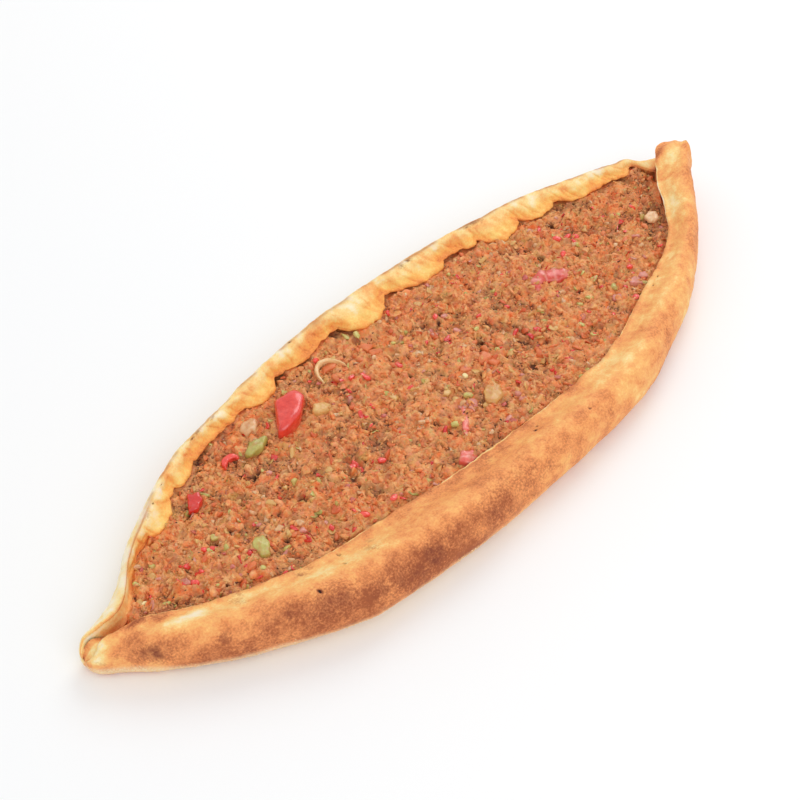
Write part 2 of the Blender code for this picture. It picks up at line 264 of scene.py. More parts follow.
def lobes(x):
    """How far the far rim's folded edge sags inwards at each x, and which share of its own lobe that is."""
    reach, share = np.zeros_like(x), np.zeros_like(x)
    for start, tip, end, furthest in LOBES:
        rise = np.sin(np.clip((x - start) / (tip - start), 0, 1) * math.pi / 2) ** 0.6
        fall = np.clip(np.cos(np.clip((x - tip) / (end - tip), 0, 1) * math.pi / 2), 0, 1) ** 0.7
        reach += furthest * rise * fall
        share = np.maximum(share, rise * fall * min(furthest / 4, 1))
    return reach, share


def flap_width(side, t):
    """Width of a rim from its outermost edge to its folded edge, without the edge's fine ripple."""
    return READ[side + "_flap"](t) + (lobes(t * HALF_LENGTH)[0] if side == "far" else 0)


def rim_rows(side, t, thick):
    """One rim's rows of points from its foot over the crest to the trough, as (inward, height, mark, steps)."""
    base, crest = READ[side + "_flap"](t), READ[side + "_crest"](t)
    lip, floor = READ[side + "_lip"](t), READ["floor"](t)
    width = flap_width(side, t)
    if side == "far":
        middle = ramp(t, -0.86, -0.78) * ramp(t, 0.92, 0.86)
        share = lobes(t * HALF_LENGTH)[1]
        ripple = 1.2 * along_noise(t, 4.2, 7.7) + 0.5 * along_noise(t, 1.9, 2.9)
        width = width + ripple * middle
        lip = lip + middle * (GAP_LIFT * (1 - share) - LOBE_SAG * share + 0.5 * along_noise(t, 7, 1.3))
    else:
        width = width + 0.5 * along_noise(t, 11, 3.1) + 0.4 * along_noise(t, 3.5, 5.2) + 0.3 * along_noise(t, 1.7, 6.4)
        lip = lip + 0.4 * along_noise(t, 14, 8.8) + 0.3 * along_noise(t, 5, 4.9)
        thick = thick * 0.75
    foot = READ["tuck"](t) * base
    wall = width - np.minimum(READ["undercut"](t), width * 0.5)
    widest, top = WIDEST_AT * crest, READ[side + "_crest_at"](t) * base
    fine = 7 if side == "near" else 5
    rows = []
    for degrees, mark in ((0, 0.0), (30, 0.1), (60, 0.2)):
        a = math.radians(degrees)
        rows.append((foot * (1 - math.sin(a)), widest * (1 - math.cos(a)), mark, fine - 3))
    for degrees, mark in ((0, 0.3), (22.5, 0.375), (45, 0.45), (67.5, 0.525)):
        a = math.radians(degrees)
        rows.append((top * (1 - math.cos(a)), widest + (crest - widest) * math.sin(a), mark, fine))
    for share, mark, steps in ((0, 0.6, fine), (0.3, 0.7, fine + 1), (0.6, 0.8, fine), (0.85, 0.9, 3)):
        droop = (1 - math.cos(share * math.pi)) / 2
        rows.append((top + (width - thick / 2 - top) * share, crest + (lip + thick / 2 - crest) * droop, mark, steps))
    rows.append((width - 0.3 * thick, lip + 0.45 * thick, 0.965, 2))
    rows.append((width, lip, 1.0, 2))
    rows.append((width - 0.4 * thick, lip - 0.5 * thick, 1.03, 1))
    rows.append((wall, np.maximum(lip - 0.8 * thick, floor + 0.3), 1.1, 1))
    rows.append((wall, floor + 0.35 * np.maximum(lip - 0.5 * thick - floor, 0.4), 1.2, 1))
    rows.append((wall + 0.25 * (width - wall), floor, 1.3, 3))
    return rows


def along_noise(t, size, salt):
    """Noise that only changes along the bread."""
    x = t * HALF_LENGTH
    return lumps(on_plane(x, np.zeros_like(x)), size, salt)


def through_rows(rows):
    """A smooth closed line through the rows: each row is (values, steps), and values may be arrays of any shape."""
    values = [row[0] for row in rows]
    out = []
    for i, (_, steps) in enumerate(rows):
        a, b, c, d = (values[(i + k) % len(values)] for k in (-1, 0, 1, 2))
        ab, bc, cd = (np.linalg.norm(q[:2] - p[:2], axis=0) + 1e-6 for p, q in ((a, b), (b, c), (c, d)))
        leave = bc * ((b - a) / ab * bc + (c - b) / bc * ab) / (ab + bc)
        arrive = bc * ((c - b) / bc * cd + (d - c) / cd * bc) / (bc + cd)
        for k in range(steps):
            s = k / steps
            point = b * (1 + 2 * s) * (1 - s) ** 2 + c * s * s * (3 - 2 * s)
            point = point + leave * s * (1 - s) ** 2 - arrive * s * s * (1 - s)
            point[2] = b[2] + (c[2] - b[2]) * s
            out.append(point)
    return np.array(out)


def dough_rings(t, thick):
    """The dough's closed outlines, as points (stations, count, 3), marks and sides (-1 near, 1 far, 0 between)."""
    near, far = rim_rows("near", t, thick), rim_rows("far", t, thick)
    near_edge, far_edge = READ["near_edge"](t), READ["far_edge"](t)
    blank = np.zeros_like(t)
    left = [(far_edge - inward, z + blank, mark + blank) for inward, z, mark, _ in far]
    right = [(near_edge + inward, z + blank, mark + blank) for inward, z, mark, _ in near]
    under = ((left[0][0] + right[0][0]) / 2, blank, blank)
    middle = ((left[-1][0] + right[-1][0]) / 2, READ["floor"](t), blank + 1.3)
    back = [far[i][3] for i in range(len(far))]
    steps = [4] + back + [3] + [near[i - 1][3] for i in range(len(near) - 1, 0, -1)] + [4]
    rows = [np.array(row) for row in [under] + left + [middle] + right[::-1]]
    curve = through_rows(list(zip(rows, steps)))
    sides = np.repeat([0] + [1] * len(far) + [0] + [-1] * len(near), steps)
    centre_y = (far_edge + near_edge) / 2
    centre_z = READ["tip_lift"](t) * curve[:, 1].max(0)
    y = centre_y + (curve[:, 0] - centre_y) * end_rounding(t)
    above = curve[:, 1] - centre_z
    z = centre_z + above * np.where(above > 0, end_rounding(t, "top"), end_rounding(t, "bottom"))
    x = np.broadcast_to(t * HALF_LENGTH, y.shape)
    points = np.stack([x, y, z], -1).transpose(1, 0, 2)
    return points, curve[:, 2].T, np.broadcast_to(sides, points.shape[:2])


def outward(points):
    """Unit normals of a tube of rings (stations, count, 3)."""
    round_it = np.roll(points, -1, 1) - np.roll(points, 1, 1)
    along = np.gradient(points, axis=0)
    normal = np.cross(round_it, along)
    return normal / (np.linalg.norm(normal, axis=-1, keepdims=True) + 1e-9)


def closed_tubes(name, tubes):
    """One object of tubes: each is rings of points (stations, count, 3) in millimetres, closed by a fan at each end."""
    points, faces, base = [], [], 0
    for rings in tubes:
        length, count, _ = rings.shape
        points += [rings.reshape(-1, 3), rings[[0, -1]].mean(1)]
        first = np.arange(count)
        after = (first + 1) % count
        starts = base + (np.arange(length - 1) * count)[:, None]
        quads = np.stack([starts + first, starts + after, starts + count + after, starts + count + first], -1)
        faces += quads.reshape(-1, 4).tolist()
        last, hub = base + (length - 1) * count, base + length * count
        faces += [(base + int(b), base + int(a), hub) for a, b in zip(first, after)]
        faces += [(last + int(a), last + int(b), hub + 1) for a, b in zip(first, after)]
        base = hub + 2
    mesh = bpy.data.meshes.new(name)
    mesh.from_pydata((np.concatenate(points) * MM).tolist(), [], faces)
    mesh.shade_smooth()
    made = bpy.data.objects.new(name, mesh)
    bpy.context.scene.collection.objects.link(made)
    return made


def paint(made, name, tubes):
    """Stores a number for each point of each tube; a tube's two hubs take the mean of their ring."""
    flat = [part for values in tubes for part in (values.reshape(-1), [values[0].mean(), values[-1].mean()])]
    attribute = made.data.attributes.new(name, "FLOAT", "POINT")
    attribute.data.foreach_set("value", np.concatenate(flat).astype(np.float32))


def finish_piece(made, material, nodes=()):
    """Gives a piece its material, sets it on the pide and lets it stand for its CAD nodes."""
    if material is not None:
        made.data.materials.clear()
        made.data.materials.append(material)
    made.name = made.data.name = made.name.replace(" ", "_")
    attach(made, "root")
    if nodes:
        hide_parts(*nodes)
    return made


def node(tree, kind, values=None, links=None, **settings):
    """Adds a node: settings are its properties, values fill its inputs and links feed them from other sockets."""
    made = tree.nodes.new(kind)
    for key, value in settings.items():
        setattr(made, key, value)
    for key, value in (values or {}).items():
        made.inputs[key].default_value = value
    for key, source in (links or {}).items():
        tree.links.new(source, made.inputs[key])
    return made


def per_metre(millimetres):
    """Noise scale for grain of a size in millimetres."""
    return 1 / (millimetres * MM)


def new_material(name, **constants):
    """A material with its Principled shader's constant sockets set, and its tree, shader and object coordinates."""
    material = bpy.data.materials.new(name)
    material.use_nodes = True
    tree = material.node_tree
    shader = tree.nodes["Principled BSDF"]
    for socket, value in constants.items():
        shader.inputs[socket.replace("_", " ")].default_value = value
    place = node(tree, "ShaderNodeTexCoord").outputs["Object"]
    return material, tree, shader, place


def grain(tree, place, size, detail=2.0, rough=0.5, distortion=0.0):
    """Noise of a grain size in millimetres, from 0 to 1."""
    values = {"Scale": per_metre(size), "Detail": detail, "Roughness": rough, "Distortion": distortion}
    return node(tree, "ShaderNodeTexNoise", values, {"Vector": place}).outputs["Fac"]


def colour_ramp(tree, value, stops, interpolation="LINEAR"):
    """Colours along a value, as (position, linear colour)."""
    made = node(tree, "ShaderNodeValToRGB", links={"Fac": value})
    made.color_ramp.interpolation = interpolation
    elements = made.color_ramp.elements
    while len(elements) < len(stops):
        elements.new(0.5)
    for element, (position, tone) in zip(elements, stops):
        element.position = position
        element.color = (*tone, 1)
    return made.outputs["Color"]


def maths(tree, operation, first, second, third=None, clamp=False):
    """One sum on sockets or numbers."""
    made = node(tree, "ShaderNodeMath", operation=operation, use_clamp=clamp)
    for index, term in enumerate((first, second, third)):
        if isinstance(term, bpy.types.NodeSocket):
            tree.links.new(term, made.inputs[index])
        elif term is not None:
            made.inputs[index].default_value = term
    return made.outputs[0]


def blend_colours(tree, share, first, second, kind="MIX"):
    """Mixes two colours, each a socket or a linear colour, by a share."""
    made = node(tree, "ShaderNodeMix", data_type="RGBA", blend_type=kind, clamp_factor=True)
    for index, term in ((0, share), (6, first), (7, second)):
        if isinstance(term, bpy.types.NodeSocket):
            tree.links.new(term, made.inputs[index])
        else:
            made.inputs[index].default_value = term if index == 0 else (*term, 1)
    return made.outputs[2]


def mask(tree, name):
    """A number painted on the piece's points."""
    return node(tree, "ShaderNodeAttribute", attribute_name=name, attribute_type="GEOMETRY").outputs["Fac"]


def tone(name, description, code):
    return FloatVectorProperty(name=name, description=description, default=linear(code), subtype="COLOR", size=3,
                               min=0, max=1)


def length(name, description, millimetres):
    return FloatProperty(name=name, description=description, default=millimetres * MM, unit="LENGTH", min=0,
                         precision=5)


class CrustSettings(bpy.types.PropertyGroup):
    edge: length("Folded edge", "Thickness of the folded dough's edge", 1.7)
    bulge: length("Bulge", "How far the crust's soft swellings stand out", 1.5)
    cream: tone("Cream", "Dough that hardly coloured", "#FDEFD0")
    butter: tone("Butter", "Pale yellow dough", "#FCDD98")
    gold: tone("Gold", "Lightly baked crust", "#F9BC72")
    amber: tone("Amber", "Baked crust", "#EF9C5E")
    baked: tone("Baked", "Well baked crust", "#D07F4C")
    brown: tone("Brown", "Deep brown crust", "#A85B34")
    scorch: tone("Scorch", "Scorched crust", "#7E3C28")
    char: tone("Char", "Burnt specks and pinholes", "#2A1812")


class MinceSettings(bpy.types.PropertyGroup):
    crumb: length("Crumb", "Size of the mince's crumbs", 3.1)
    relief: length("Relief", "Height of the crumbs", 1.2)
    # Deep is painted shade: the near-black brown laid into the gaps between crumbs, the pits and where the filling
    # shrank from the far rim
    deep: tone("Deep", "Meat in the gaps between crumbs", "#4C1A06")
    brown: tone("Brown", "Browned meat", "#CC7040")
    tan: tone("Tan", "Cooked meat", "#F6AA66")
    light: tone("Light", "Lighter cooked meat", "#FCC282")
    pink: tone("Pink", "Pinkish meat", "#F09C74")
    yellow: tone("Yellow", "Meat with yellowish fat and onion", "#D8A858")
    pale: tone("Pale", "Palest crumbs", "#F8C68C")
    orange: tone("Orange", "Meat coloured by tomato and pepper", "#F67A3A")
    loose: IntProperty(name="Loose crumbs", description="Fine crumbs on top", default=4200, min=0)
    nuggets: IntProperty(name="Nuggets", description="Coarse crumbs on top", default=400, min=0)


def pinholes(x, marks, sides, clear=4):
    """How much of a pinhole through the crust lies at each point, from 0 to 1."""
    amount = np.zeros_like(x)
    for side, at_x, mark, radius in PINHOLES:
        here = (sides == (-1 if side == "near" else 1)) & (np.abs(x - at_x) < clear)
        amount = np.maximum(amount, here * spot(x, at_x, radius) * spot(marks, mark, radius * 0.022))
    return amount


def grooves(points, sides):
    """Depth pressed into the tips' folds at each point, in millimetres."""
    x, y, z = (points[..., i] for i in range(3))
    depth = np.zeros_like(x)
    for start, end, width, deep in GROOVES:
        run_x, run_y = end[0] - start[0], end[1] - start[1]
        share = np.clip(((x - start[0]) * run_x + (y - start[1]) * run_y) / (run_x ** 2 + run_y ** 2), 0, 1)
        away = np.hypot(x - start[0] - share * run_x, y - start[1] - share * run_y)
        depth += deep * np.exp(-(away / width) ** 2) * ramp(z, 9, 13)
    return depth


def fold_lobes(x, marks):
    """The far rim's lobes at each point of its flap, along creases that lean towards the near tip."""
    return lobes(x + np.clip(1 - marks, 0, 0.5) * FOLD_LEAN)


def folds(x, marks, size, salt):
    """Thin creases across the far rim's flap, from 0 to 1, about a size in millimetres apart."""
    strip = on_plane(x + (1 - marks) * FOLD_LEAN, marks * 9)
    return np.exp(-np.abs(lumps(strip, size, salt)) / 0.08)


def dough_relief(points, marks, sides, settings):
    """How far each point of the crust stands out or in, in millimetres."""
    near, far = sides < 0, sides > 0
    x = points[..., 0]
    t = x / HALF_LENGTH
    top_side = ramp(marks, 0.08, 0.3) * ramp(marks, 1.02, 0.95)
    bulge = settings.bulge / MM
    out = bulge * lumps(points, 34, 4.1) * (0.9 * near + 0.4 * far)
    out += 0.5 * lumps(points, 11, 9.3)
    out += 0.2 * lumps(points, 3.4, 6.6) + 0.14 * lumps(points, 1.7, 2.2)
    out *= top_side
    reach, share = fold_lobes(x, marks)
    flap = far * ramp(marks, 0.6, 0.8) * ramp(marks, 1.04, 0.97) * ramp(t, -0.88, -0.78) * ramp(t, 0.94, 0.88)
    strip = on_plane(x + (1 - marks) * FOLD_LEAN, marks * 26)
    out += flap * (FOLD_PUFF * (share - 0.4) + 1.2 * lumps(strip, 8, 6.1) + 0.6 * lumps(strip, 4, 2.7))
    out -= flap * (0.7 * folds(x, marks, 6.5, 3.3) + 0.35 * folds(x, marks, 2.8, 8.3))
    ridge = spot(marks, 0.6, 0.05) * far * ramp(t, -0.86, -0.92) * ramp(t, -0.995, -0.97)
    out += 0.9 * ridge
    out -= 1.1 * pinholes(x, marks, sides)
    return out - grooves(points, sides)


def dough_masks(points, marks, sides):
    """Browning with painted shade and painted highlights, scorching, blush (reddish lines), flour and warmth of the
    crust, each from 0 to 1.
    """
    near, far = sides < 0, sides > 0
    x, y, z = (points[..., i] for i in range(3))
    t = x / HALF_LENGTH
    patch, fleck = lumps(points, 26, 1.9), lumps(points, 8, 7.1)
    bake = np.where(near, BROWNING_AND_LIGHT["near"](marks), np.where(far, BROWNING_AND_LIGHT["far"](marks), 0.6))
    bake += 0.2 * patch * (near + 0.6 * far) + 0.2 * fleck + 0.14 * lumps(points, 3, 2.6)
    outer, upper = ramp(marks, 0.6, 0.46) * ramp(marks, 0.2, 0.32), ramp(marks, 0.55, 0.68) * ramp(marks, 0.98, 0.95)
    bake += near * (BROWNING_AND_LIGHT["outer"](t) * outer + BROWNING_AND_LIGHT["upper"](t) * upper)
    reach, share = fold_lobes(x, marks)
    middle = ramp(t, -0.86, -0.78) * ramp(t, 0.92, 0.86)
    # painted shade: browner in the notches between the far rim's lobes; the lobes paler, partly their own pale dough
    # and partly painted highlight
    bake += far * middle * ramp(marks, 0.68, 0.85) * (0.1 * (1 - share) - 0.06 * share)
    # painted shade: browner along the creases across the far rim's flap
    bake += 0.2 * far * middle * ramp(marks, 0.62, 0.72) * ramp(marks, 1.0, 0.9) * folds(x, marks, 6.5, 3.3)
    near_tip = far * ramp(t, -0.84, -0.9)
    bake += near_tip * (0.3 * spot(marks, 0.62, 0.05) + 0.12 * ramp(marks, 0.66, 0.8))
    bake += np.where(far & (marks < 0.6), -0.14 * ramp(t, -0.5, -0.85), 0)
    # browning patches, with painted highlights on the near rim's crest and a strip of painted shade in the near tip's
    # pocket among them
    for at_x, at_y, long, wide, turn, amount in TONE_AND_LIGHT_PATCHES:
        a = math.radians(turn)
        along = ((x - at_x) * math.cos(a) + (y - at_y) * math.sin(a)) / long
        across = ((y - at_y) * math.cos(a) - (x - at_x) * math.sin(a)) / wide
        bake += amount * np.exp(-along ** 2 - across ** 2) * ramp(z, 7, 11)
    scorch = np.zeros_like(x)
    ragged = 1 + 0.9 * lumps(points, 3.6, 5.8) + 0.5 * lumps(points, 1.6, 8.2)
    for side, at_x, mark, length_along, spread, strength in SCORCHES:
        here = sides == (-1 if side == "near" else 1)
        mottled = here * strength * spot(x, at_x, length_along) * spot(marks, mark, spread) * ragged
        scorch = np.maximum(scorch, mottled)
    # faint leopard spots wherever the outer side is well baked
    leopard = np.clip(lumps(points, 5.5, 3.7) - 0.25, 0, 1) * ramp(marks, 0.6, 0.45) * near * ramp(t, 0.2, -0.2)
    scorch = np.clip(np.maximum(scorch, leopard * 0.6), 0, 0.86)
    scorch = np.maximum(scorch, ramp(pinholes(x, marks, sides), 0.2, 0.6))
    line = along_noise(t, 9, 4.4) + 0.5 * along_noise(t, 3, 1.4)
    near_line = spot(marks, 0.955, 0.02) * ramp(line, -0.35, 0.35) * (0.3 + 0.7 * spot(t, -0.1, 0.3))
    far_line = spot(marks, 0.57, 0.045) * ramp(line, -0.4, 0.2) * (0.75 + 0.25 * ramp(t, -0.1, 0.4)) * ramp(t, -0.8, -0.6)
    far_line = np.maximum(far_line, spot(marks, 0.61, 0.03) * ramp(t, -0.62, -0.72) * ramp(t, -0.93, -0.88))
    far_line = np.maximum(far_line, spot(marks, 0.58, 0.1) * spot(x, -13, 5) * 0.8)
    blush = np.where(near, near_line, np.where(far, far_line * 0.9, 0))
    flour = near * ramp(marks, 0.36, 0.26) * ramp(z, 9.5, 4.0) * ramp(z, 0.8, 1.6) * ramp(t, 0.1, -0.4)
    warm = far * ramp(marks, 0.68, 0.84) * middle
    return {"bake": np.clip(bake, 0, 1), "scorch": scorch, "blush": blush, "flour": flour, "warm": warm}


def crust_material(settings):
    """Baked wheat dough: dry and matt, with a fine leopard grain where it browned and a soft glow in pale parts."""
    material, tree, shader, place = new_material(
        "baked_dough_crust", Roughness=0.6, Specular_IOR_Level=0.25, Subsurface_Weight=0.15,
        Subsurface_Radius=(1.0, 0.5, 0.25), Subsurface_Scale=1.3 * MM)
    bake, scorch, blush, flour, warm = (mask(tree, name) for name in ("bake", "scorch", "blush", "flour", "warm"))
    fine, finer, broad = grain(tree, place, 0.95, 3, 0.6), grain(tree, place, 0.5, 1), grain(tree, place, 7, 3)
    speckle = maths(tree, "ADD", maths(tree, "MULTIPLY", maths(tree, "SUBTRACT", fine, 0.5), 1.15),
                    maths(tree, "MULTIPLY", maths(tree, "SUBTRACT", broad, 0.5), 0.4))
    # the browning mask also carries painted shade in the far rim's notches and creases, and painted highlights on the
    # near rim's crest and folded edge
    strength = maths(tree, "MULTIPLY_ADD", bake, 0.8, 0.14)
    browning = maths(tree, "MULTIPLY_ADD", speckle, strength, bake, clamp=True)
    base = colour_ramp(tree, browning, [
        (0.0, settings.cream), (0.16, settings.butter), (0.34, settings.gold), (0.56, settings.amber),
        (0.76, settings.baked), (1.0, settings.brown)])
    base = blend_colours(tree, warm, base, linear("#FFF4D2"), "MULTIPLY")
    base = blend_colours(tree, maths(tree, "MULTIPLY", blush, 0.75), base, linear("#B0552F"))
    mottled = maths(tree, "MULTIPLY_ADD", maths(tree, "SUBTRACT", fine, 0.5), 0.9, scorch)
    shown = maths(tree, "MULTIPLY", mottled, maths(tree, "GREATER_THAN", scorch, 0.02), clamp=True)
    burnt = colour_ramp(tree, scorch, [(0.0, settings.scorch), (0.85, settings.scorch), (0.97, settings.char)])
    base = blend_colours(tree, shown, base, burnt)
    dusty = maths(tree, "MULTIPLY", flour, maths(tree, "MULTIPLY_ADD", finer, 2.2, -0.35), clamp=True)
    base = blend_colours(tree, dusty, base, linear("#F6DFB4"))
    tree.links.new(base, shader.inputs["Base Color"])
    height = maths(tree, "ADD", maths(tree, "MULTIPLY", fine, 0.7), maths(tree, "MULTIPLY", finer, 0.4))
    bump = node(tree, "ShaderNodeBump", {"Strength": 0.35, "Distance": 0.25 * MM}, {"Height": height})
    tree.links.new(bump.outputs["Normal"], shader.inputs["Normal"])
    return material


def build_semolina(crust):
    """Grains of semolina from the baker's bench that stuck to the bread's lower edge."""
    material, tree, shader, place = new_material("semolina", Roughness=0.7, Specular_IOR_Level=0.3)
    base = colour_ramp(tree, grain(tree, place, 0.8, 2), [(0.3, linear("#E8C07C")), (0.7, linear("#FBEBC4"))])
    tree.links.new(base, shader.inputs["Base Color"])
    source = shape_object("grain", nugget(1))
    strew("semolina_grains", crust, source, material, "crust", 51, room="flour", per_area=3e5, smallest=0.3 * MM,
          largest=0.75 * MM, sink=0.45, dent=0.3, clumping=2.5)
    bpy.data.objects.remove(source)


def build_dough(settings):
    """The bread: one sheet of dough with both long edges folded in and a pinched tip at each end."""
    t = np.clip(stations(690, 0.3), -END_SECTION, END_SECTION)
    points, marks, sides = dough_rings(t, settings.edge / MM)
    relief = dough_relief(points, marks, sides, settings)
    taper = end_rounding(t)[:, None] ** 0.5
    points = points + outward(points) * (relief * taper)[..., None]
    points[..., 2] = np.maximum(points[..., 2], 0)
    made = closed_tubes("crust", [points])
    for name, values in dough_masks(points, marks, sides).items():
        paint(made, name, [values])
    return finish_piece(made, crust_material(settings), ["dough"])


# Pits in the filling, sunk and painted dark as shade, as x, y and radius: the four largest, and smaller ones strewn
# between the rims
PITS = [(-18, -4, 1.5), (38, -22, 2.0), (96, 20, 2.0), (-90, 25, 1.3)]
PIT_COUNT = 22


def open_between(x):
    """The lowest and highest y of the filling that shows between the folded edges at x."""
    t = np.array([x / HALF_LENGTH])
    low = READ["near_edge"](t) + flap_width("near", t)
    high = READ["far_edge"](t) - flap_width("far", t)
    return float(low[0]), float(high[0])


def scattered(count, rng, clear=3.0):
    """Places strewn over the open filling, clear of the folded edges."""
    places = []
    for x in rng.uniform(0.8 * FILLING_ENDS[0], 0.8 * FILLING_ENDS[1], count) * HALF_LENGTH:
        low, high = open_between(x)
        places.append((x, rng.uniform(low + clear, high - clear)))
    return places


PIT_RNG = np.random.default_rng(4)
PITS += [(x, y, PIT_RNG.uniform(1.0, 1.6)) for x, y in scattered(PIT_COUNT, PIT_RNG)]


def mince_surface(x, y, settings):
    """The filling's relief over its level, each crumb's own number, and how much painted shade each point takes in the
    creases between crumbs, in low places and in the pits.
    """
    flat = on_plane(x, y)
    warped = flat + np.stack([lumps(flat, 5, 1.1), lumps(flat, 5, 6.3), np.zeros_like(x)], -1) * 2.6
    crumb = settings.crumb / MM
    coarse, fine = np.abs(lumps(warped, crumb, 3.7)), np.abs(lumps(warped, crumb * 0.48, 8.1))
    _, _, own = cells(warped, crumb * 0.62, 5.9)
    heap = 2.3 * lumps(flat, 9, 2.8) + 1.6 * lumps(flat, 22, 7.4) + 1.2 * lumps(flat, 4.6, 9.9)
    heap += 0.5 * ramp(lumps(flat, 14, 4.4), 0.1, 0.3)
    height = heap + settings.relief / MM * (3.2 * coarse + 1.9 * fine - 0.9)
    hole, _, hole_own = cells(flat, 6.5, 5.5)
    pit = ramp(hole, 0.03 + 0.2 * hole_own, 0.02 + 0.08 * hole_own) * (hole_own > 0.4)
    for at_x, at_y, radius in PITS:
        pit = np.maximum(pit, ramp(np.hypot(x - at_x, y - at_y), radius * 1.5, radius * 0.7))
    height -= 2.8 * pit
    # painted shade: darker in the creases between crumbs and in the heap's low places; the pits take it too
    crease_shade = ramp(coarse, 0.08, 0.0) * ramp(heap, 0.5, -0.5) * 0.9 + ramp(fine, 0.05, 0.0) * 0.3
    crease_shade += 0.35 * ramp(heap, -0.2, -1.3)
    return height, own, np.clip(crease_shade + pit, 0, 1)


def filling_rings(t, settings):
    """The filling's outlines, as points (stations, count, 3), with its crumb numbers, painted shade in its gaps, and
    open part.
    """
    columns = 132
    near_width, far_width = flap_width("near", t), flap_width("far", t)
    near_y = READ["near_edge"](t) + near_width - np.minimum(READ["undercut"](t), 4.5) + 0.4
    far_y = READ["far_edge"](t) - far_width + np.minimum(READ["undercut"](t), 4.5) - 0.4
    far_y = np.maximum(far_y, near_y + 2)
    share = (np.linspace(0, 1, columns))[None, :]
    y = far_y[:, None] + (near_y - far_y)[:, None] * share
    x = np.broadcast_to((t * HALF_LENGTH)[:, None], y.shape)
    height, own, gap = mince_surface(x, y, settings)
    inner_near = (READ["near_edge"](t) + near_width)[:, None]
    inner_far = (READ["far_edge"](t) - far_width)[:, None]
    open_share = ramp(y - inner_near, -0.5, 2.0) * ramp(inner_far - y, -0.5, 2.0)
    level = np.minimum(READ["near_lip"](np.minimum(t, 0.6)), 15)[:, None] + FILLING_LEVEL
    crown = 0.8 * np.sqrt(np.sin(math.pi * share))
    ends = (ramp(t, FILLING_ENDS[0], FILLING_ENDS[0] + 0.02) * ramp(t, FILLING_ENDS[1], FILLING_ENDS[1] - 0.02))
    gaps = np.max([deep * ramp(np.abs(x - middle), half * 1.3, half * 0.7) for middle, half, deep in GAPS], axis=0)
    beside = ramp(inner_far - y, 4.5, -1.0)
    top = level + (height - 1.2 + crown) * (0.12 + 0.88 * open_share) - 0.9 * (1 - open_share)
    top += FAR_HEAP * ramp(inner_far - y, 9, 1) * ramp(t, 0.97, 0.9)[:, None] - gaps * beside
    shrunk = gaps * beside
    floor = READ["floor"](t)[:, None] - 0.5
    top = floor + (top - floor) * (0.25 + 0.75 * ends[:, None])
    low = np.broadcast_to(floor, top.shape)[:, [0, columns // 2, -1]]
    below = np.stack([x[:, [0, columns // 2, -1]], y[:, [0, columns // 2, -1]], low], -1)[:, ::-1]
    points = np.concatenate([np.stack([x, y, top], -1), below], 1)

    def with_underside(values, fill):
        return np.concatenate([values, np.full((len(t), 3), fill)], 1)

    # painted shadow where the filling shrank away under the far rim
    gap = np.clip(gap + 0.25 * shrunk, 0, 1)
    masks = {"own": with_underside(own, 0.5), "gap": with_underside(gap, 1.0),
             "room": with_underside(open_share * (ends[:, None] > 0.5), 0.0)}
    return points, masks


def stains(tree, place, size, threshold, detail=2.0):
    """Soft patches of a size in millimetres, where noise passes a threshold."""
    raised = maths(tree, "SUBTRACT", grain(tree, place, size, detail), threshold)
    return maths(tree, "MULTIPLY", raised, 5.0, clamp=True)


def mosaic(tree, place, size, soft):
    """A number of its own for each of the small clumps of a size in millimetres, blended where clumps meet."""
    bent = node(tree, "ShaderNodeTexNoise", {"Scale": per_metre(size * 0.8), "Detail": 2.0}, {"Vector": place})
    spread = node(tree, "ShaderNodeVectorMath", {1: (0.5, 0.5, 0.5)}, {0: bent.outputs["Color"]}, operation="SUBTRACT")
    moved = node(tree, "ShaderNodeVectorMath", {1: (size * MM * 1.1,) * 3}, {0: spread.outputs[0], 2: place},
                 operation="MULTIPLY_ADD")
    clumps = node(tree, "ShaderNodeTexVoronoi", {"Scale": per_metre(size), "Smoothness": soft}, {
        "Vector": moved.outputs[0]}, feature="SMOOTH_F1")
    return node(tree, "ShaderNodeSeparateColor", links={"Color": clumps.outputs["Color"]}).outputs["Red"]


def mince_colour(tree, place, settings, own, gap):
    """Cooked mince's colour: clumps of their own tone with mashed vegetables between, and painted shade in the gaps and
    pits.
    """
    fine, finer, broad = grain(tree, place, 1.7, 3, 0.65), grain(tree, place, 0.6, 2), grain(tree, place, 7, 3)
    shade = maths(tree, "MULTIPLY_ADD", own, 0.3, 0.3)
    for noise_socket, strength in ((fine, 1.2), (finer, 0.6), (broad, 2.3)):
        shade = maths(tree, "MULTIPLY_ADD", maths(tree, "SUBTRACT", noise_socket, 0.5), strength, shade)
    base = colour_ramp(tree, shade, [(0.0, settings.brown), (0.3, settings.tan), (0.65, settings.light),
                                     (0.9, settings.pale)])
    tints = [settings.orange, settings.tan, settings.yellow, settings.tan, settings.pink, settings.light,
             settings.orange, settings.tan, settings.pale, settings.yellow, settings.pink, settings.brown]
    for size, soft, share in ((3.4, 0.35, 0.62), (1.7, 0.3, 0.45)):
        stops = [(0.2 + 0.6 * i / (len(tints) - 1), tint) for i, tint in enumerate(tints)]
        clumps = colour_ramp(tree, mosaic(tree, place, size, soft), stops)
        tints = tints[5:] + tints[:5]
        base = blend_colours(tree, share, base, clumps)
    stained = maths(tree, "MULTIPLY", stains(tree, place, 11, 0.44, 3), stains(tree, place, 2.3, 0.45))
    base = blend_colours(tree, maths(tree, "MULTIPLY", stained, 0.9), base, settings.orange)
    mashed = maths(tree, "MULTIPLY", stains(tree, place, 10, 0.5, 3), stains(tree, place, 3.1, 0.42))
    base = blend_colours(tree, maths(tree, "MULTIPLY", mashed, 0.6), base, settings.yellow)
    dim = maths(tree, "MULTIPLY", stains(tree, place, 7, 0.53, 3), 0.5)
    base = blend_colours(tree, dim, base, linear("#98421C"))
    # painted shade in the gaps between crumbs, in the pits and where the filling shrank from the far rim
    return blend_colours(tree, gap, base, settings.deep)


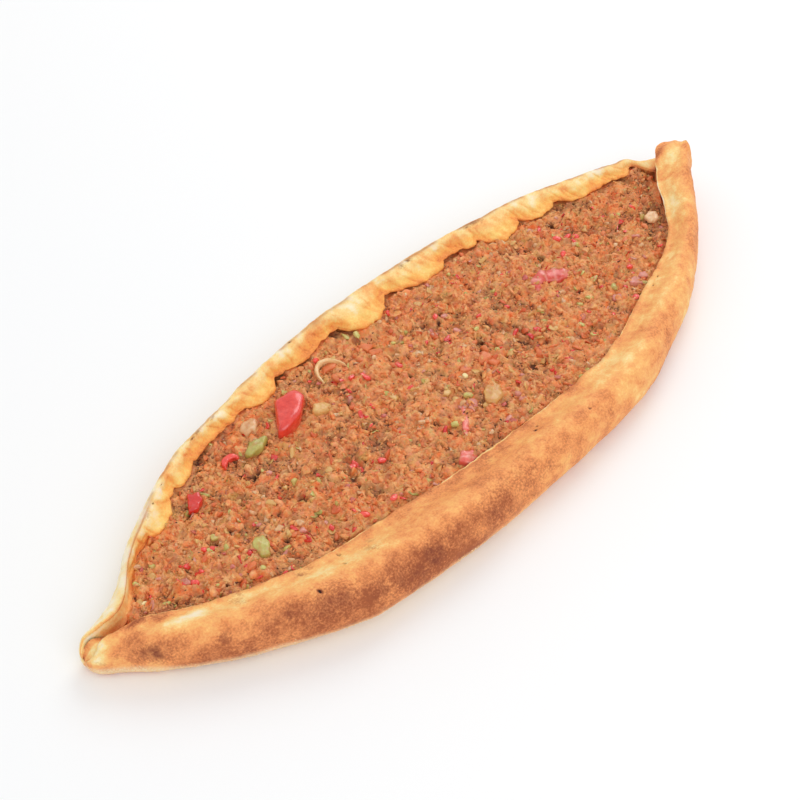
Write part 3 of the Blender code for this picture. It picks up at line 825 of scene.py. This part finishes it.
def mince_material(settings, name="cooked_mince", loose=False):
    """Cooked minced meat: moist and greasy in spots, soft light under its surface, every crumb in its own tone."""
    material, tree, shader, place = new_material(
        name, Specular_IOR_Level=0.4, Subsurface_Weight=0.1, Subsurface_Radius=(1.0, 0.35, 0.2),
        Subsurface_Scale=1.0 * MM)
    own = mask(tree, "own")
    gap = maths(tree, "MULTIPLY", mask(tree, "gap"), 0.0 if loose else 0.95)
    tree.links.new(mince_colour(tree, place, settings, own, gap), shader.inputs["Base Color"])
    wet = maths(tree, "MULTIPLY_ADD", stains(tree, place, 3.7, 0.5), -0.3, 0.6)
    tree.links.new(wet, shader.inputs["Roughness"])
    bump = node(tree, "ShaderNodeBump", {"Strength": 0.7, "Distance": 0.7 * MM}, {
        "Height": grain(tree, place, 1.0, 3, 0.65)})
    tree.links.new(bump.outputs["Normal"], shader.inputs["Normal"])
    return material


def build_filling(settings):
    """The filling's core, whose relief is the pressed mince."""
    t = stations(650, 0.2, FILLING_ENDS)
    points, masks = filling_rings(t, settings)
    made = closed_tubes("mince", [points])
    for name, values in masks.items():
        paint(made, name, [values])
    return finish_piece(made, mince_material(settings), ["filling"])


def strew_tree():
    """Geometry Nodes that strew a shape over a surface, each one sunk, turned, stretched and dented in its own way."""
    tree = bpy.data.node_groups.new("strew", "GeometryNodeTree")
    interface = tree.interface
    interface.new_socket("Surface", in_out="INPUT", socket_type="NodeSocketGeometry")
    for name, kind, default in (
            ("Shape", "Object", None), ("Room", "String", "room"), ("Per Area", "Float", 1e5), ("Smallest", "Float", 1 * MM),
            ("Largest", "Float", 2 * MM), ("Longest Stretch", "Float", 1.4), ("Flatness", "Float", 0.7),
            ("Tilt", "Float", 0.6), ("Sink", "Float", 0.2), ("Dent", "Float", 0.3), ("Clump Size", "Float", 12 * MM),
            ("Clumping", "Float", 0.0), ("Seed", "Int", 1), ("Material", "Material", None)):
        made = interface.new_socket(name, in_out="INPUT", socket_type="NodeSocket" + kind)
        if default is not None:
            made.default_value = default
    interface.new_socket("Geometry", in_out="OUTPUT", socket_type="NodeSocketGeometry")
    given = node(tree, "NodeGroupInput").outputs

    def seeded(shift):
        return maths_node("ADD", given["Seed"], shift)

    def maths_node(operation, first, second, third=None, kind="ShaderNodeMath"):
        made = node(tree, kind, operation=operation)
        for index, term in enumerate((first, second, third)):
            if isinstance(term, bpy.types.NodeSocket):
                tree.links.new(term, made.inputs[index])
            elif term is not None:
                made.inputs[index].default_value = term
        return made.outputs[0]

    position = node(tree, "GeometryNodeInputPosition").outputs[0]
    room = node(tree, "GeometryNodeInputNamedAttribute", links={"Name": given["Room"]}, data_type="FLOAT").outputs["Attribute"]
    clump_scale = maths_node("DIVIDE", 1.0, given["Clump Size"])
    shifted = maths_node("ADD", position, None, kind="ShaderNodeVectorMath")
    offset = node(tree, "ShaderNodeCombineXYZ", links={"Z": maths_node("MULTIPLY", given["Seed"], 0.37)}).outputs[0]
    tree.links.new(offset, shifted.node.inputs[1])
    clump = node(tree, "ShaderNodeTexNoise", {"Detail": 2.0}, {"Vector": shifted, "Scale": clump_scale}).outputs["Fac"]
    thick = maths_node("MULTIPLY", maths_node("SUBTRACT", clump, 0.5), given["Clumping"])
    share = maths_node("MAXIMUM", maths_node("ADD", thick, 1.0), 0.0)
    density = maths_node("MULTIPLY", maths_node("MULTIPLY", given["Per Area"], room), share)
    strewn = node(tree, "GeometryNodeDistributePointsOnFaces", links={
        "Mesh": given["Surface"], "Density": density, "Seed": given["Seed"]})
    size = node(tree, "FunctionNodeRandomValue", links={
        2: given["Smallest"], 3: given["Largest"], "Seed": seeded(1)}, data_type="FLOAT").outputs[1]
    lift = maths_node("MULTIPLY", size, maths_node("SUBTRACT", 0.5, given["Sink"]))
    lifted = maths_node("SCALE", strewn.outputs["Normal"], None, kind="ShaderNodeVectorMath")
    tree.links.new(lift, lifted.node.inputs["Scale"])
    points = node(tree, "GeometryNodeSetPosition", links={
        "Geometry": strewn.outputs["Points"], "Offset": lifted}).outputs[0]
    tilt = given["Tilt"]
    highest = node(tree, "ShaderNodeCombineXYZ", {"Z": math.pi}, {"X": tilt, "Y": tilt}).outputs[0]
    back = maths_node("MULTIPLY", tilt, -1.0)
    lowest = node(tree, "ShaderNodeCombineXYZ", {"Z": -math.pi}, {"X": back, "Y": back}).outputs[0]
    euler = node(tree, "FunctionNodeRandomValue", links={0: lowest, 1: highest, "Seed": seeded(2)},
                 data_type="FLOAT_VECTOR").outputs[0]
    turn = node(tree, "FunctionNodeEulerToRotation", links={"Euler": euler}).outputs[0]
    turned = node(tree, "FunctionNodeRotateRotation", links={
        "Rotation": strewn.outputs["Rotation"], "Rotate By": turn}, rotation_space="LOCAL").outputs[0]
    longest = node(tree, "ShaderNodeCombineXYZ", {"Y": 1.1}, {"X": given["Longest Stretch"], "Z": given["Flatness"]})
    shortest = node(tree, "ShaderNodeCombineXYZ", {"X": 0.9, "Y": 0.7}, {
        "Z": maths_node("MULTIPLY", given["Flatness"], 0.6)})
    stretch = node(tree, "FunctionNodeRandomValue", links={
        0: shortest.outputs[0], 1: longest.outputs[0], "Seed": seeded(3)}, data_type="FLOAT_VECTOR").outputs[0]
    scaled = maths_node("SCALE", stretch, None, kind="ShaderNodeVectorMath")
    tree.links.new(size, scaled.node.inputs["Scale"])
    shape = node(tree, "GeometryNodeObjectInfo", links={"Object": given["Shape"]}).outputs["Geometry"]
    placed = node(tree, "GeometryNodeInstanceOnPoints", links={
        "Points": points, "Instance": shape, "Rotation": turned, "Scale": scaled}).outputs[0]
    own = node(tree, "FunctionNodeRandomValue", {2: 0.0, 3: 1.0}, {"Seed": seeded(4)}, data_type="FLOAT").outputs[1]
    marked = node(tree, "GeometryNodeStoreNamedAttribute", {"Name": "own"}, {"Geometry": placed, "Value": own},
                  data_type="FLOAT", domain="INSTANCE").outputs[0]
    real = node(tree, "GeometryNodeRealizeInstances", links={"Geometry": marked}).outputs[0]
    ripple = node(tree, "ShaderNodeTexNoise", {"Detail": 1.0}, {
        "Vector": position, "Scale": maths_node("DIVIDE", 0.9, given["Largest"])}).outputs["Color"]
    centred = maths_node("SUBTRACT", ripple, None, kind="ShaderNodeVectorMath")
    centred.node.inputs[1].default_value = (0.5, 0.5, 0.5)
    dented = maths_node("SCALE", centred, None, kind="ShaderNodeVectorMath")
    tree.links.new(maths_node("MULTIPLY", given["Dent"], given["Largest"]), dented.node.inputs["Scale"])
    dents = node(tree, "GeometryNodeSetPosition", links={"Geometry": real, "Offset": dented}).outputs[0]
    coated = node(tree, "GeometryNodeSetMaterial", links={"Geometry": dents, "Material": given["Material"]}).outputs[0]
    node(tree, "NodeGroupOutput", links={0: coated})
    return tree


def strew(name, surface, shape, material, slot, seed, **settings):
    """Strews a shape over a surface's open part with Geometry Nodes and returns the result as one plain mesh."""
    tree = bpy.data.node_groups.get("strew") or strew_tree()
    sockets = {item.name: item.identifier for item in tree.interface.items_tree if item.in_out == "INPUT"}
    holder = bpy.data.objects.new(name + "_holder", surface.data)
    bpy.context.scene.collection.objects.link(holder)
    modifier = holder.modifiers.new("strew", "NODES")
    modifier.node_group = tree
    values = {"Shape": shape, "Material": material, "Seed": seed}
    values.update({key.replace("_", " ").title(): value for key, value in settings.items()})
    for key, value in values.items():
        modifier[sockets[key]] = value
    bpy.context.view_layer.update()
    evaluated = holder.evaluated_get(bpy.context.evaluated_depsgraph_get())
    mesh = bpy.data.meshes.new_from_object(evaluated)
    bpy.data.objects.remove(holder)
    if not mesh.polygons:
        raise RuntimeError(name + " has nothing strewn")
    made = bpy.data.objects.new(name, mesh)
    bpy.context.scene.collection.objects.link(made)
    mesh.shade_smooth()
    return finish_piece(made, None)


def shape_object(name, mesh):
    """A hidden source shape for strewing, one unit across, that is removed after use."""
    data = bpy.data.meshes.new(name)
    mesh.to_mesh(data)
    mesh.free()
    made = bpy.data.objects.new(name, data)
    bpy.context.scene.collection.objects.link(made)
    made.hide_render = True
    return made


def nugget(subdivisions):
    mesh = bmesh.new()
    bmesh.ops.create_icosphere(mesh, subdivisions=subdivisions, radius=0.5)
    return mesh


def build_crumbs(settings, mince):
    """Loose crumbs of mince pressed into the filling's surface."""
    loose = mince_material(settings, "loose_mince", loose=True)
    small, large = shape_object("small_nugget", nugget(1)), shape_object("large_nugget", nugget(2))
    strew("mince_crumbs", mince, small, loose, "meat", 3, per_area=settings.loose / OPEN_AREA, smallest=0.5 * MM,
          largest=1.3 * MM, sink=0.3, dent=0.7, clumping=3.0)
    strew("mince_nuggets", mince, large, loose, "meat", 8, per_area=settings.nuggets / OPEN_AREA, smallest=1.4 * MM,
          largest=3.5 * MM, sink=0.52, dent=1.6, clumping=3.0, flatness=0.7)
    for source in (small, large):
        bpy.data.objects.remove(source)


# Vegetables: kind, material's name, darker and lighter colour, roughness, coat, subsurface weight and material slot
VEGETABLES = {
    # shiny skin over soft flesh that stays the brightest red in the filling
    "red_pepper": ("roasted_red_pepper", "#D4261A", "#FA5444", 0.2, 0.8, 0.15, "pepper_red"),
    # wet flesh with pale ribs
    "tomato": ("cooked_tomato", "#CE3A2C", "#F27868", 0.28, 0.4, 0.2, "tomato"),
    # tomato cooked to a mush, matt and orange
    "pulp": ("tomato_pulp", "#D25A2A", "#E88850", 0.45, 0.1, 0.2, "tomato"),
    # purple onion skin that bled to a dull pink
    "red_onion": ("cooked_red_onion", "#C45A50", "#E0A08C", 0.35, 0.2, 0.3, "onion"),
    # glassy and nearly colourless
    "onion": ("sweated_onion", "#D49C68", "#E8BE90", 0.3, 0.2, 0.4, "onion"),
    # the one slice that stayed on top, dry and pale
    "pale_onion": ("pale_onion", "#E8B87C", "#FBE0B4", 0.4, 0.1, 0.3, "onion"),
    # olive skin and paler flesh
    "green_pepper": ("roasted_green_pepper", "#AFA552", "#D4C874", 0.32, 0.3, 0.2, "pepper_green"),
    # the same pepper's yellow-green flesh
    "yellow_pepper": ("roasted_yellow_pepper", "#D29C54", "#E2B670", 0.34, 0.2, 0.25, "pepper_green"),
    # dry, pale and hard
    "seed": ("pepper_seed", "#E0B95E", "#F8EAB4", 0.45, 0.0, 0.1, "pepper_green"),
    # crumbs of meat that caught on the oven floor
    "browned": ("browned_meat", "#3A1A10", "#74341E", 0.6, 0.0, 0.0, "meat"),
}

ARCH = math.radians(75)  # an arched strip turns this far to each side of its middle


def arched(width, steps=7):
    """An arched strip's path across its box, thinner at its ends, as shares of the half box and widths."""
    along = np.linspace(-1, 1, steps)
    rise = (np.cos(ARCH * along) - math.cos(ARCH)) / (1 - math.cos(ARCH)) * 2 - 1
    return list(zip(np.sin(ARCH * along) / math.sin(ARCH), rise, width * np.sqrt(1 - 0.8 * along ** 2)))


# Cut pieces that stand for the frame's nodes: kind, height, boxiness, ribs, and either a slab's corners or a strip's
# path, as shares of half the node's box from its middle, with the strip's width in millimetres
TOPPINGS = {
    "red_pepper_chunk": ("red_pepper", 10, 0, 0, [(1, 0.7), (1, 0), (0.2, -0.8), (-0.7, -1), (-1, -0.7), (0, 1)]),
    "red_pepper_strip": ("red_pepper", 3.6, 2.4, 0, arched(3.2)),
    "red_pepper_end": ("red_pepper", 4, 0, 0, [(0.2, 1), (1, 0.2), (0.6, -0.7), (-0.4, -1), (-1, -0.6)]),
    "tomato_piece": ("tomato", 6, 2.6, 5, [
        (-1, 0, 3), (-0.7, 0.6, 7), (-0.3, 0.8, 8), (0.2, 0.3, 8), (0.6, -0.4, 7), (1, -1, 3)]),
    "tomato_piece_small": ("tomato", 5, 0, 1.6, [(0, 1), (1, 0.4), (0.8, -0.8), (-0.6, -1), (-1, 0.2)]),
    "tomato_skin_strip": ("tomato", 3.4, 2.4, 7, [(1, 1, 1.4), (0.3, 0.2, 2.6), (-0.3, -0.4, 3.2), (-1, -1, 2.8)]),
    "onion_slice": ("pale_onion", 3.4, 2.2, 0, arched(2.2)),
    "onion_lump": ("onion", 6, 0, 0, [(-1, -0.6), (0, -1), (1, 0), (0.8, 0.8), (-0.2, 1), (-1, 0.3)]),
    "onion_dice": ("onion", 2.5, 0, 0, [(-0.9, -0.3), (-0.5, -1), (0.4, -0.9), (1, 0.2), (0.5, 0.9), (-0.6, 0.8)]),
    "green_pepper_strip": ("green_pepper", 5, 0, 0, [(-1, 0), (-0.8, -0.8), (0.2, -1), (1, 0), (0.9, 0.8), (-0.3, 1)]),
    "green_pepper_dice": ("green_pepper", 5, 0, 0, [
        (-0.8, -0.7), (-0.1, -1), (0.8, -0.2), (1, 0.7), (0.2, 1), (-0.7, 0.4)]),
    "pale_pepper_slice": ("yellow_pepper", 5, 0, 0, [
        (-1, 0.3), (-0.7, -0.6), (0.2, -1), (1, -0.4), (0.8, 0.5), (-0.4, 1)]),
    "yellow_pepper_dice": ("yellow_pepper", 3, 0, 0, [
        (-1, -0.3), (-0.6, -1), (0.3, -0.8), (1, 0.2), (0.8, 1), (-0.4, 0.6)]),
}

# Groups of smaller bits: kind, middle of the group as x and y, its spread, how many, shortest and longest
GROUPS = [
    ("red_pepper", -15, 30, 18, 3, 3, 7), ("red_pepper", 130, 20, 20, 3, 3, 7), ("red_pepper", -55, -10, 15, 2, 4, 6),
    ("red_pepper", -140, 10, 20, 3, 3, 6), ("red_pepper", 60, 20, 15, 2, 3, 4), ("red_pepper", 120, -20, 10, 2, 3, 4),
    ("pulp", -15, 42, 14, 6, 4, 9), ("pulp", 15, 0, 20, 4, 4, 10), ("pulp", 125, -8, 15, 3, 4, 7),
    ("pulp", -110, 5, 25, 3, 3, 5),
    ("red_onion", 15, -25, 18, 6, 3, 8), ("red_onion", 105, -22, 15, 4, 4, 9), ("red_onion", 145, 0, 18, 3, 3, 5),
    ("red_onion", 30, 25, 12, 3, 4, 6), ("red_onion", -110, 5, 30, 4, 3, 5),
    ("onion", -30, -5, 12, 5, 3, 6), ("onion", 10, 25, 20, 3, 3, 6), ("onion", -110, 0, 20, 4, 3, 6),
    ("onion", 90, 0, 25, 2, 3, 5),
    ("green_pepper", 80, -20, 25, 4, 3, 5), ("green_pepper", 0, -22, 25, 3, 4, 6), ("green_pepper", -115, 5, 25, 3, 2, 5),
    ("yellow_pepper", -25, 10, 25, 3, 5, 8), ("yellow_pepper", -105, 8, 25, 5, 3, 6),
    ("seed", 15, -5, 4, 1, 3, 4), ("seed", -165, 8, 4, 2, 2, 3),
]
LEAN = -38  # most bits lie about this many degrees from the length, as the knife swept them

# Bits strewn all over the filling: kind, how many, smallest and largest size, stretch, flatness, clumping
STREWN = [
    ("pulp", 170, 1.1, 3.2, 1.9, 0.5, 3.5), ("red_pepper", 80, 0.8, 3.2, 1.9, 0.6, 1.5),
    ("red_onion", 60, 1.0, 2.8, 1.8, 0.5, 1.5), ("onion", 120, 0.9, 2.8, 1.6, 0.6, 1.5),
    ("green_pepper", 70, 1.0, 3.0, 1.7, 0.6, 1.5), ("yellow_pepper", 90, 1.2, 3.4, 1.6, 0.5, 1.5),
    ("browned", 200, 0.4, 1.1, 1.6, 0.6, 1.0),
]


def vegetable_material(kind):
    """A vegetable's flesh and skin: mottled between its two colours, with pale ribs where a piece is painted so."""
    name, dark, light, roughness, coat, subsurface, _ = VEGETABLES[kind]
    material, tree, shader, place = new_material(
        name, Roughness=roughness, Specular_IOR_Level=0.5, Coat_Weight=coat, Coat_Roughness=0.12,
        Subsurface_Weight=subsurface, Subsurface_Radius=(1.0, 0.6, 0.35), Subsurface_Scale=1.5 * MM)
    own, rib, low = (mask(tree, attribute) for attribute in ("own", "rib", "low"))
    shade = maths(tree, "MULTIPLY_ADD", maths(tree, "SUBTRACT", grain(tree, place, 2.4, 3), 0.5), 1.4, own)
    shade = maths(tree, "MULTIPLY_ADD", maths(tree, "SUBTRACT", grain(tree, place, 0.8, 2), 0.5), 0.6, shade,
                  clamp=True)
    base = blend_colours(tree, shade, linear(dark), linear(light))
    base = blend_colours(tree, maths(tree, "MULTIPLY", rib, 0.55), base, linear("#F4AEA0"))
    smear = maths(tree, "MULTIPLY", stains(tree, place, 2.6, 0.5, 3), 0.0 if kind in ("red_pepper", "seed", "pale_onion") else 0.5)
    base = blend_colours(tree, maths(tree, "MULTIPLY_ADD", low, 0.7, smear, clamp=True), base, linear("#C47440"))
    tree.links.new(base, shader.inputs["Base Color"])
    bump = node(tree, "ShaderNodeBump", {"Strength": 0.3, "Distance": 0.3 * MM}, {"Height": grain(tree, place, 1.1, 2)})
    tree.links.new(bump.outputs["Normal"], shader.inputs["Normal"])
    return material


def curve_through(run, values, at):
    """A smooth curve through values that stand at run, read at each of the places in at."""
    slope = np.gradient(values, run)
    i = np.clip(np.searchsorted(run, at) - 1, 0, len(run) - 2)
    span = run[i + 1] - run[i]
    s = (at - run[i]) / span
    level = values[i] * (1 + 2 * s) * (1 - s) ** 2 + values[i + 1] * s * s * (3 - 2 * s)
    return level + span * (slope[i] * s * (1 - s) ** 2 - slope[i + 1] * s * s * (1 - s))


def cut_rings(path, height, salt, boxy=3.0, ribs=0, rings=17, sides=18):
    """A cut piece of vegetable on Z = 0 along a path of (x, y, width), with soft corners, and its masks."""
    keys = np.array(path, float)
    run = np.concatenate([[0], np.cumsum(np.hypot(*np.diff(keys[:, :2], axis=0).T))])
    s = np.sin(np.linspace(-1, 1, rings) * math.pi / 2) * 0.995
    x, y, width = (curve_through(run, keys[:, i], (s + 1) / 2 * run[-1]) for i in range(3))
    body = (1 - np.abs(s) ** boxy) ** (1 / boxy)
    along = np.stack([np.gradient(x), np.gradient(y)])
    along = along / np.linalg.norm(along, axis=0)
    a = np.arange(sides) / sides * 2 * math.pi - math.pi / 2
    across = np.sign(np.cos(a)) * np.abs(np.cos(a)) ** 0.65
    up = np.sign(np.sin(a)) * np.abs(np.sin(a)) ** 0.75
    reach = (width / 2 * body)[:, None] * across
    z = (height / 2 * body ** 0.7)[:, None] * up
    ribbing = np.zeros_like(z)
    if ribs:
        ribbing = ramp(np.sin(s * ribs * math.pi + salt)[:, None] + 0.4 * across, 0.1, 1.0) * ramp(up, 0.0, 0.6)
    points = np.stack([x[:, None] - along[1][:, None] * reach, y[:, None] + along[0][:, None] * reach, z], -1)
    mean = keys[:, 2].mean()
    rough = min(mean, height, 6) * (0.2 * lumps(points, max(mean, 2) * 0.7, salt) + 0.1 * lumps(points, mean * 0.3, salt))
    points = points + outward(points) * (rough + 0.2 * ribbing)[..., None]
    low = np.broadcast_to(ramp(up, -0.1, -0.7), z.shape)
    return points, {"own": np.full(z.shape, salt * 7.3 % 1), "rib": ribbing, "low": low}


def slab_rings(corners, height, salt, ribs=0, rings=11, sides=24):
    """A cut piece on Z = 0 as a slab inside its corners, with soft edges and an uneven top, and its masks."""
    corners = np.array(corners, float)
    centre = corners.mean(0)
    corners = corners[np.argsort(np.arctan2(*(corners - centre).T[::-1]))]
    closed = np.concatenate([corners, corners[:1]])
    run = np.concatenate([[0], np.cumsum(np.hypot(*np.diff(closed, axis=0).T))])
    at = np.arange(sides) / sides * run[-1]
    outline = np.stack([np.interp(at, run, closed[:, i]) for i in (0, 1)], -1) - centre
    outline = 0.76 * outline + 0.12 * (np.roll(outline, 1, 0) + np.roll(outline, -1, 0))
    a = np.linspace(-0.49, 0.49, rings) * math.pi
    inset, up = np.cos(a) ** 0.35, np.sign(a) * np.abs(np.sin(a)) ** 0.6
    points = np.empty((rings, sides, 3))
    points[..., :2] = centre + inset[:, None, None] * outline
    points[..., 2] = (height / 2 * up)[:, None]
    size = math.sqrt(run[-1] / 4 * height)
    rough = min(size, 6) * (0.1 * lumps(points, size * 0.8, salt) + 0.1 * lumps(points, size * 0.35, salt))
    tilt = math.sin(salt * 5.3) * 0.16
    points = points + outward(points) * rough[..., None]
    points[..., 2] += tilt * (points[..., 0] - centre[0]) - 0.5 * tilt * (points[..., 1] - centre[1])
    up = np.broadcast_to(up[:, None], points.shape[:2])
    ribbing = np.zeros_like(up)
    if ribs:
        ribbing = ramp(np.sin((points[..., 0] + points[..., 1]) * ribs), 0.2, 0.9) * ramp(up, 0.4, 0.9)
    return points, {"own": np.full(up.shape, salt * 7.3 % 1), "rib": ribbing, "low": ramp(up, 0.1, -0.6)}


def build_toppings(materials):
    """The larger cut pieces, each in its node's place."""
    for number, (name, (kind, height, boxy, ribs, path)) in enumerate(TOPPINGS.items()):
        low, high = (np.array(corner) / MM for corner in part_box(name))
        wide = max((step[2] for step in path if len(step) == 3), default=0)
        reach = (high - low - wide)[:2] / 2
        middle = (low + high)[:2] / 2
        path = [(*(middle + reach * step[:2]), *step[2:]) for step in path]
        if len(path[0]) == 2:
            points, masks = slab_rings(path, height, 1.7 + number, ribs, 17, 36)
        else:
            points, masks = cut_rings(path, height, 1.7 + number, boxy, ribs, 33, 26)
        points[..., 2] += high[2] + 0.3 * (height - 3) - points[..., 2].max()
        made = closed_tubes(name + "_cut", [points])
        for attribute, values in masks.items():
            paint(made, attribute, [values])
        finish_piece(made, materials[kind], [name])


def diced(long, wide, turn, rng):
    """Corners of a small bit about the origin, cut to four to six uneven sides."""
    count = int(rng.integers(4, 7))
    a = (np.arange(count) + rng.uniform(-0.3, 0.3, count)) / count * 2 * math.pi + rng.uniform(0, 1)
    reach = rng.uniform(0.8, 1.15, count)
    x, y = np.cos(a) * reach * long * 0.5, np.sin(a) * reach * wide * 0.52
    turn = math.radians(turn)
    return np.stack([x * math.cos(turn) - y * math.sin(turn), x * math.sin(turn) + y * math.cos(turn)], -1)


def grouped_bits(rng):
    """The groups' bits kind by kind, each as x, y, length, width and turn, kept clear of the folded edges."""
    kinds = {}
    for kind, x, y, spread, count, shortest, longest in GROUPS:
        for _ in range(count):
            at_x = x + rng.uniform(-spread, spread)
            low, high = open_between(at_x)
            at_y = min(max(y + rng.uniform(-0.6, 0.6) * spread, low + longest / 2), high - longest / 2)
            long = rng.uniform(shortest, longest)
            row = (at_x, at_y, long, long * rng.uniform(0.5, 0.85), LEAN + rng.uniform(-40, 40))
            kinds.setdefault(kind, []).append(row)
    return kinds


def build_bits(mince, materials):
    """The smaller bits, half sunk in the filling in their groups, joined kind by kind."""
    surface = BVHTree.FromObject(mince, bpy.context.evaluated_depsgraph_get())
    rng = np.random.default_rng(17)
    for kind, bits in grouped_bits(rng).items():
        tubes, masks = [], []
        for number, (x, y, long, wide, turn) in enumerate(bits):
            tall = 0.25 * wide + 1.3
            corners = diced(long, wide, turn, rng) + (x, y)
            points, painted = slab_rings(corners, tall, 3.1 + 1.37 * number, 0, 9, 20)
            hit = surface.ray_cast(Vector((x, y, 60)) * MM, Vector((0, 0, -1)))[0]
            points[..., 2] += hit.z / MM - 0.05 * tall
            tubes.append(points)
            masks.append(painted)
        made = closed_tubes(kind + "_bits", tubes)
        for attribute in masks[0]:
            paint(made, attribute, [painted[attribute] for painted in masks])
        finish_piece(made, materials[kind])


def strew_bits(mince, materials):
    """The finest bits of vegetable, strewn over the filling."""
    source = shape_object("bit", nugget(2))
    for number, (kind, count, smallest, largest, stretch, flatness, clumping) in enumerate(STREWN):
        strew(kind + "_crumbs", mince, source, materials[kind], VEGETABLES[kind][-1], 21 + number,
              per_area=count / OPEN_AREA, smallest=smallest * MM, largest=largest * MM, longest_stretch=stretch,
              flatness=flatness, sink=0.5, dent=1.4, clumping=clumping)
    bpy.data.objects.remove(source)


class StageSettings(bpy.types.PropertyGroup):
    floor: tone("Floor", "Pale studio floor", "#F9FAFB")
    sky: FloatProperty(name="Sky", description="Strength of the even light all round", default=0.8, min=0)
    key: FloatProperty(name="Key light", description="Power of the large soft light", default=3.9, min=0,
                       subtype="POWER")


def aim(made, place, target):
    """Puts a camera or a light at a place, turned towards a target."""
    made.location = place
    made.rotation_euler = (Vector(target) - Vector(place)).to_track_quat("-Z", "Y").to_euler()


def area_light(name, place, target, size, power, colour=(1, 1, 1)):
    light = bpy.data.lights.new(name, "AREA")
    light.shape = "DISK"
    light.size = size
    light.energy = power
    light.color = colour
    made = bpy.data.objects.new(name, light)
    bpy.context.scene.collection.objects.link(made)
    aim(made, place, target)


def floor_material(settings):
    """Matt white laminate of a studio table: even, and faintly glossy."""
    material, tree, shader, place = new_material("studio_laminate", Roughness=0.6, Specular_IOR_Level=0.3)
    tint = colour_ramp(tree, grain(tree, place, 300, 1), [(0.3, settings.floor), (0.7, linear("#FAFAFA"))])
    tree.links.new(tint, shader.inputs["Base Color"])
    return material


def build_stage(settings):
    """A pale floor, soft light from above and behind, and the camera."""
    scene = bpy.context.scene
    mesh = bmesh.new()
    bmesh.ops.create_grid(mesh, size=4.0)
    floor = shape_object("floor", mesh)
    floor.hide_render = False
    floor.location.z = -0.0002
    floor.data.materials.append(floor_material(settings))
    world = bpy.data.worlds.new("studio")
    world.use_nodes = True
    world.node_tree.nodes["Background"].inputs["Color"].default_value = (1, 1, 1, 1)
    world.node_tree.nodes["Background"].inputs["Strength"].default_value = settings.sky
    scene.world = world
    area_light("softbox", (0.85, 0.4, 0.95), (0, 0, 0), 0.8, settings.key)
    area_light("fill", (-0.35, -0.9, 0.8), (0, 0, 0), 0.9, settings.key * 0.75)
    scene.view_settings.view_transform = "Standard"
    camera = bpy.data.objects.new("camera", bpy.data.cameras.new("camera"))
    camera.data.lens = 70
    camera.data.sensor_width = 36
    camera.data.clip_start = 0.01
    scene.collection.objects.link(camera)
    aim(camera, (-0.36763, -0.30573, 0.51660), (-0.00936, 0.01631, 0))
    scene.camera = camera


class PIDE_OT_crust(bpy.types.Operator):
    """Shapes and bakes the bread"""
    bl_idname = "pide.crust"
    bl_label = "Bread"

    def execute(self, context):
        build_semolina(build_dough(context.scene.pide_crust))
        return {"FINISHED"}


class PIDE_OT_mince(bpy.types.Operator):
    """Fills the bread with mince and strews loose crumbs over it"""
    bl_idname = "pide.mince"
    bl_label = "Mince"

    def execute(self, context):
        mince = build_filling(context.scene.pide_mince)
        build_crumbs(context.scene.pide_mince, mince)
        return {"FINISHED"}


class PIDE_OT_vegetables(bpy.types.Operator):
    """Sets the cut pieces on the filling and strews finer bits over it"""
    bl_idname = "pide.vegetables"
    bl_label = "Vegetables"

    def execute(self, context):
        mince = bpy.data.objects["mince"]
        materials = {kind: vegetable_material(kind) for kind in VEGETABLES}
        build_toppings(materials)
        build_bits(mince, materials)
        strew_bits(mince, materials)
        return {"FINISHED"}


class PIDE_OT_stage(bpy.types.Operator):
    """Sets the floor, the lights and the camera"""
    bl_idname = "pide.stage"
    bl_label = "Stage"

    def execute(self, context):
        build_stage(context.scene.pide_stage)
        return {"FINISHED"}


OPERATORS = (PIDE_OT_crust, PIDE_OT_mince, PIDE_OT_vegetables, PIDE_OT_stage)
SETTINGS = {"pide_crust": CrustSettings, "pide_mince": MinceSettings, "pide_stage": StageSettings}


class PIDE_PT_panel(bpy.types.Panel):
    """Lists the pide's pieces in the order they are made"""
    bl_label = "Turkish Pide"
    bl_space_type = "VIEW_3D"
    bl_region_type = "UI"
    bl_category = "Pide"

    def draw(self, context):
        for operator in OPERATORS:
            self.layout.operator(operator.bl_idname)


def register():
    for kind in (*SETTINGS.values(), *OPERATORS, PIDE_PT_panel):
        bpy.utils.register_class(kind)
    for name, kind in SETTINGS.items():
        setattr(bpy.types.Scene, name, PointerProperty(type=kind))


def unregister():
    for name in SETTINGS:
        delattr(bpy.types.Scene, name)
    for kind in (PIDE_PT_panel, *reversed(OPERATORS), *reversed(SETTINGS.values())):
        bpy.utils.unregister_class(kind)


def main():
    register()
    bpy.ops.pide.crust()
    bpy.ops.pide.mince()
    bpy.ops.pide.vegetables()
    bpy.ops.pide.stage()


if __name__ == "__main__":
    main()
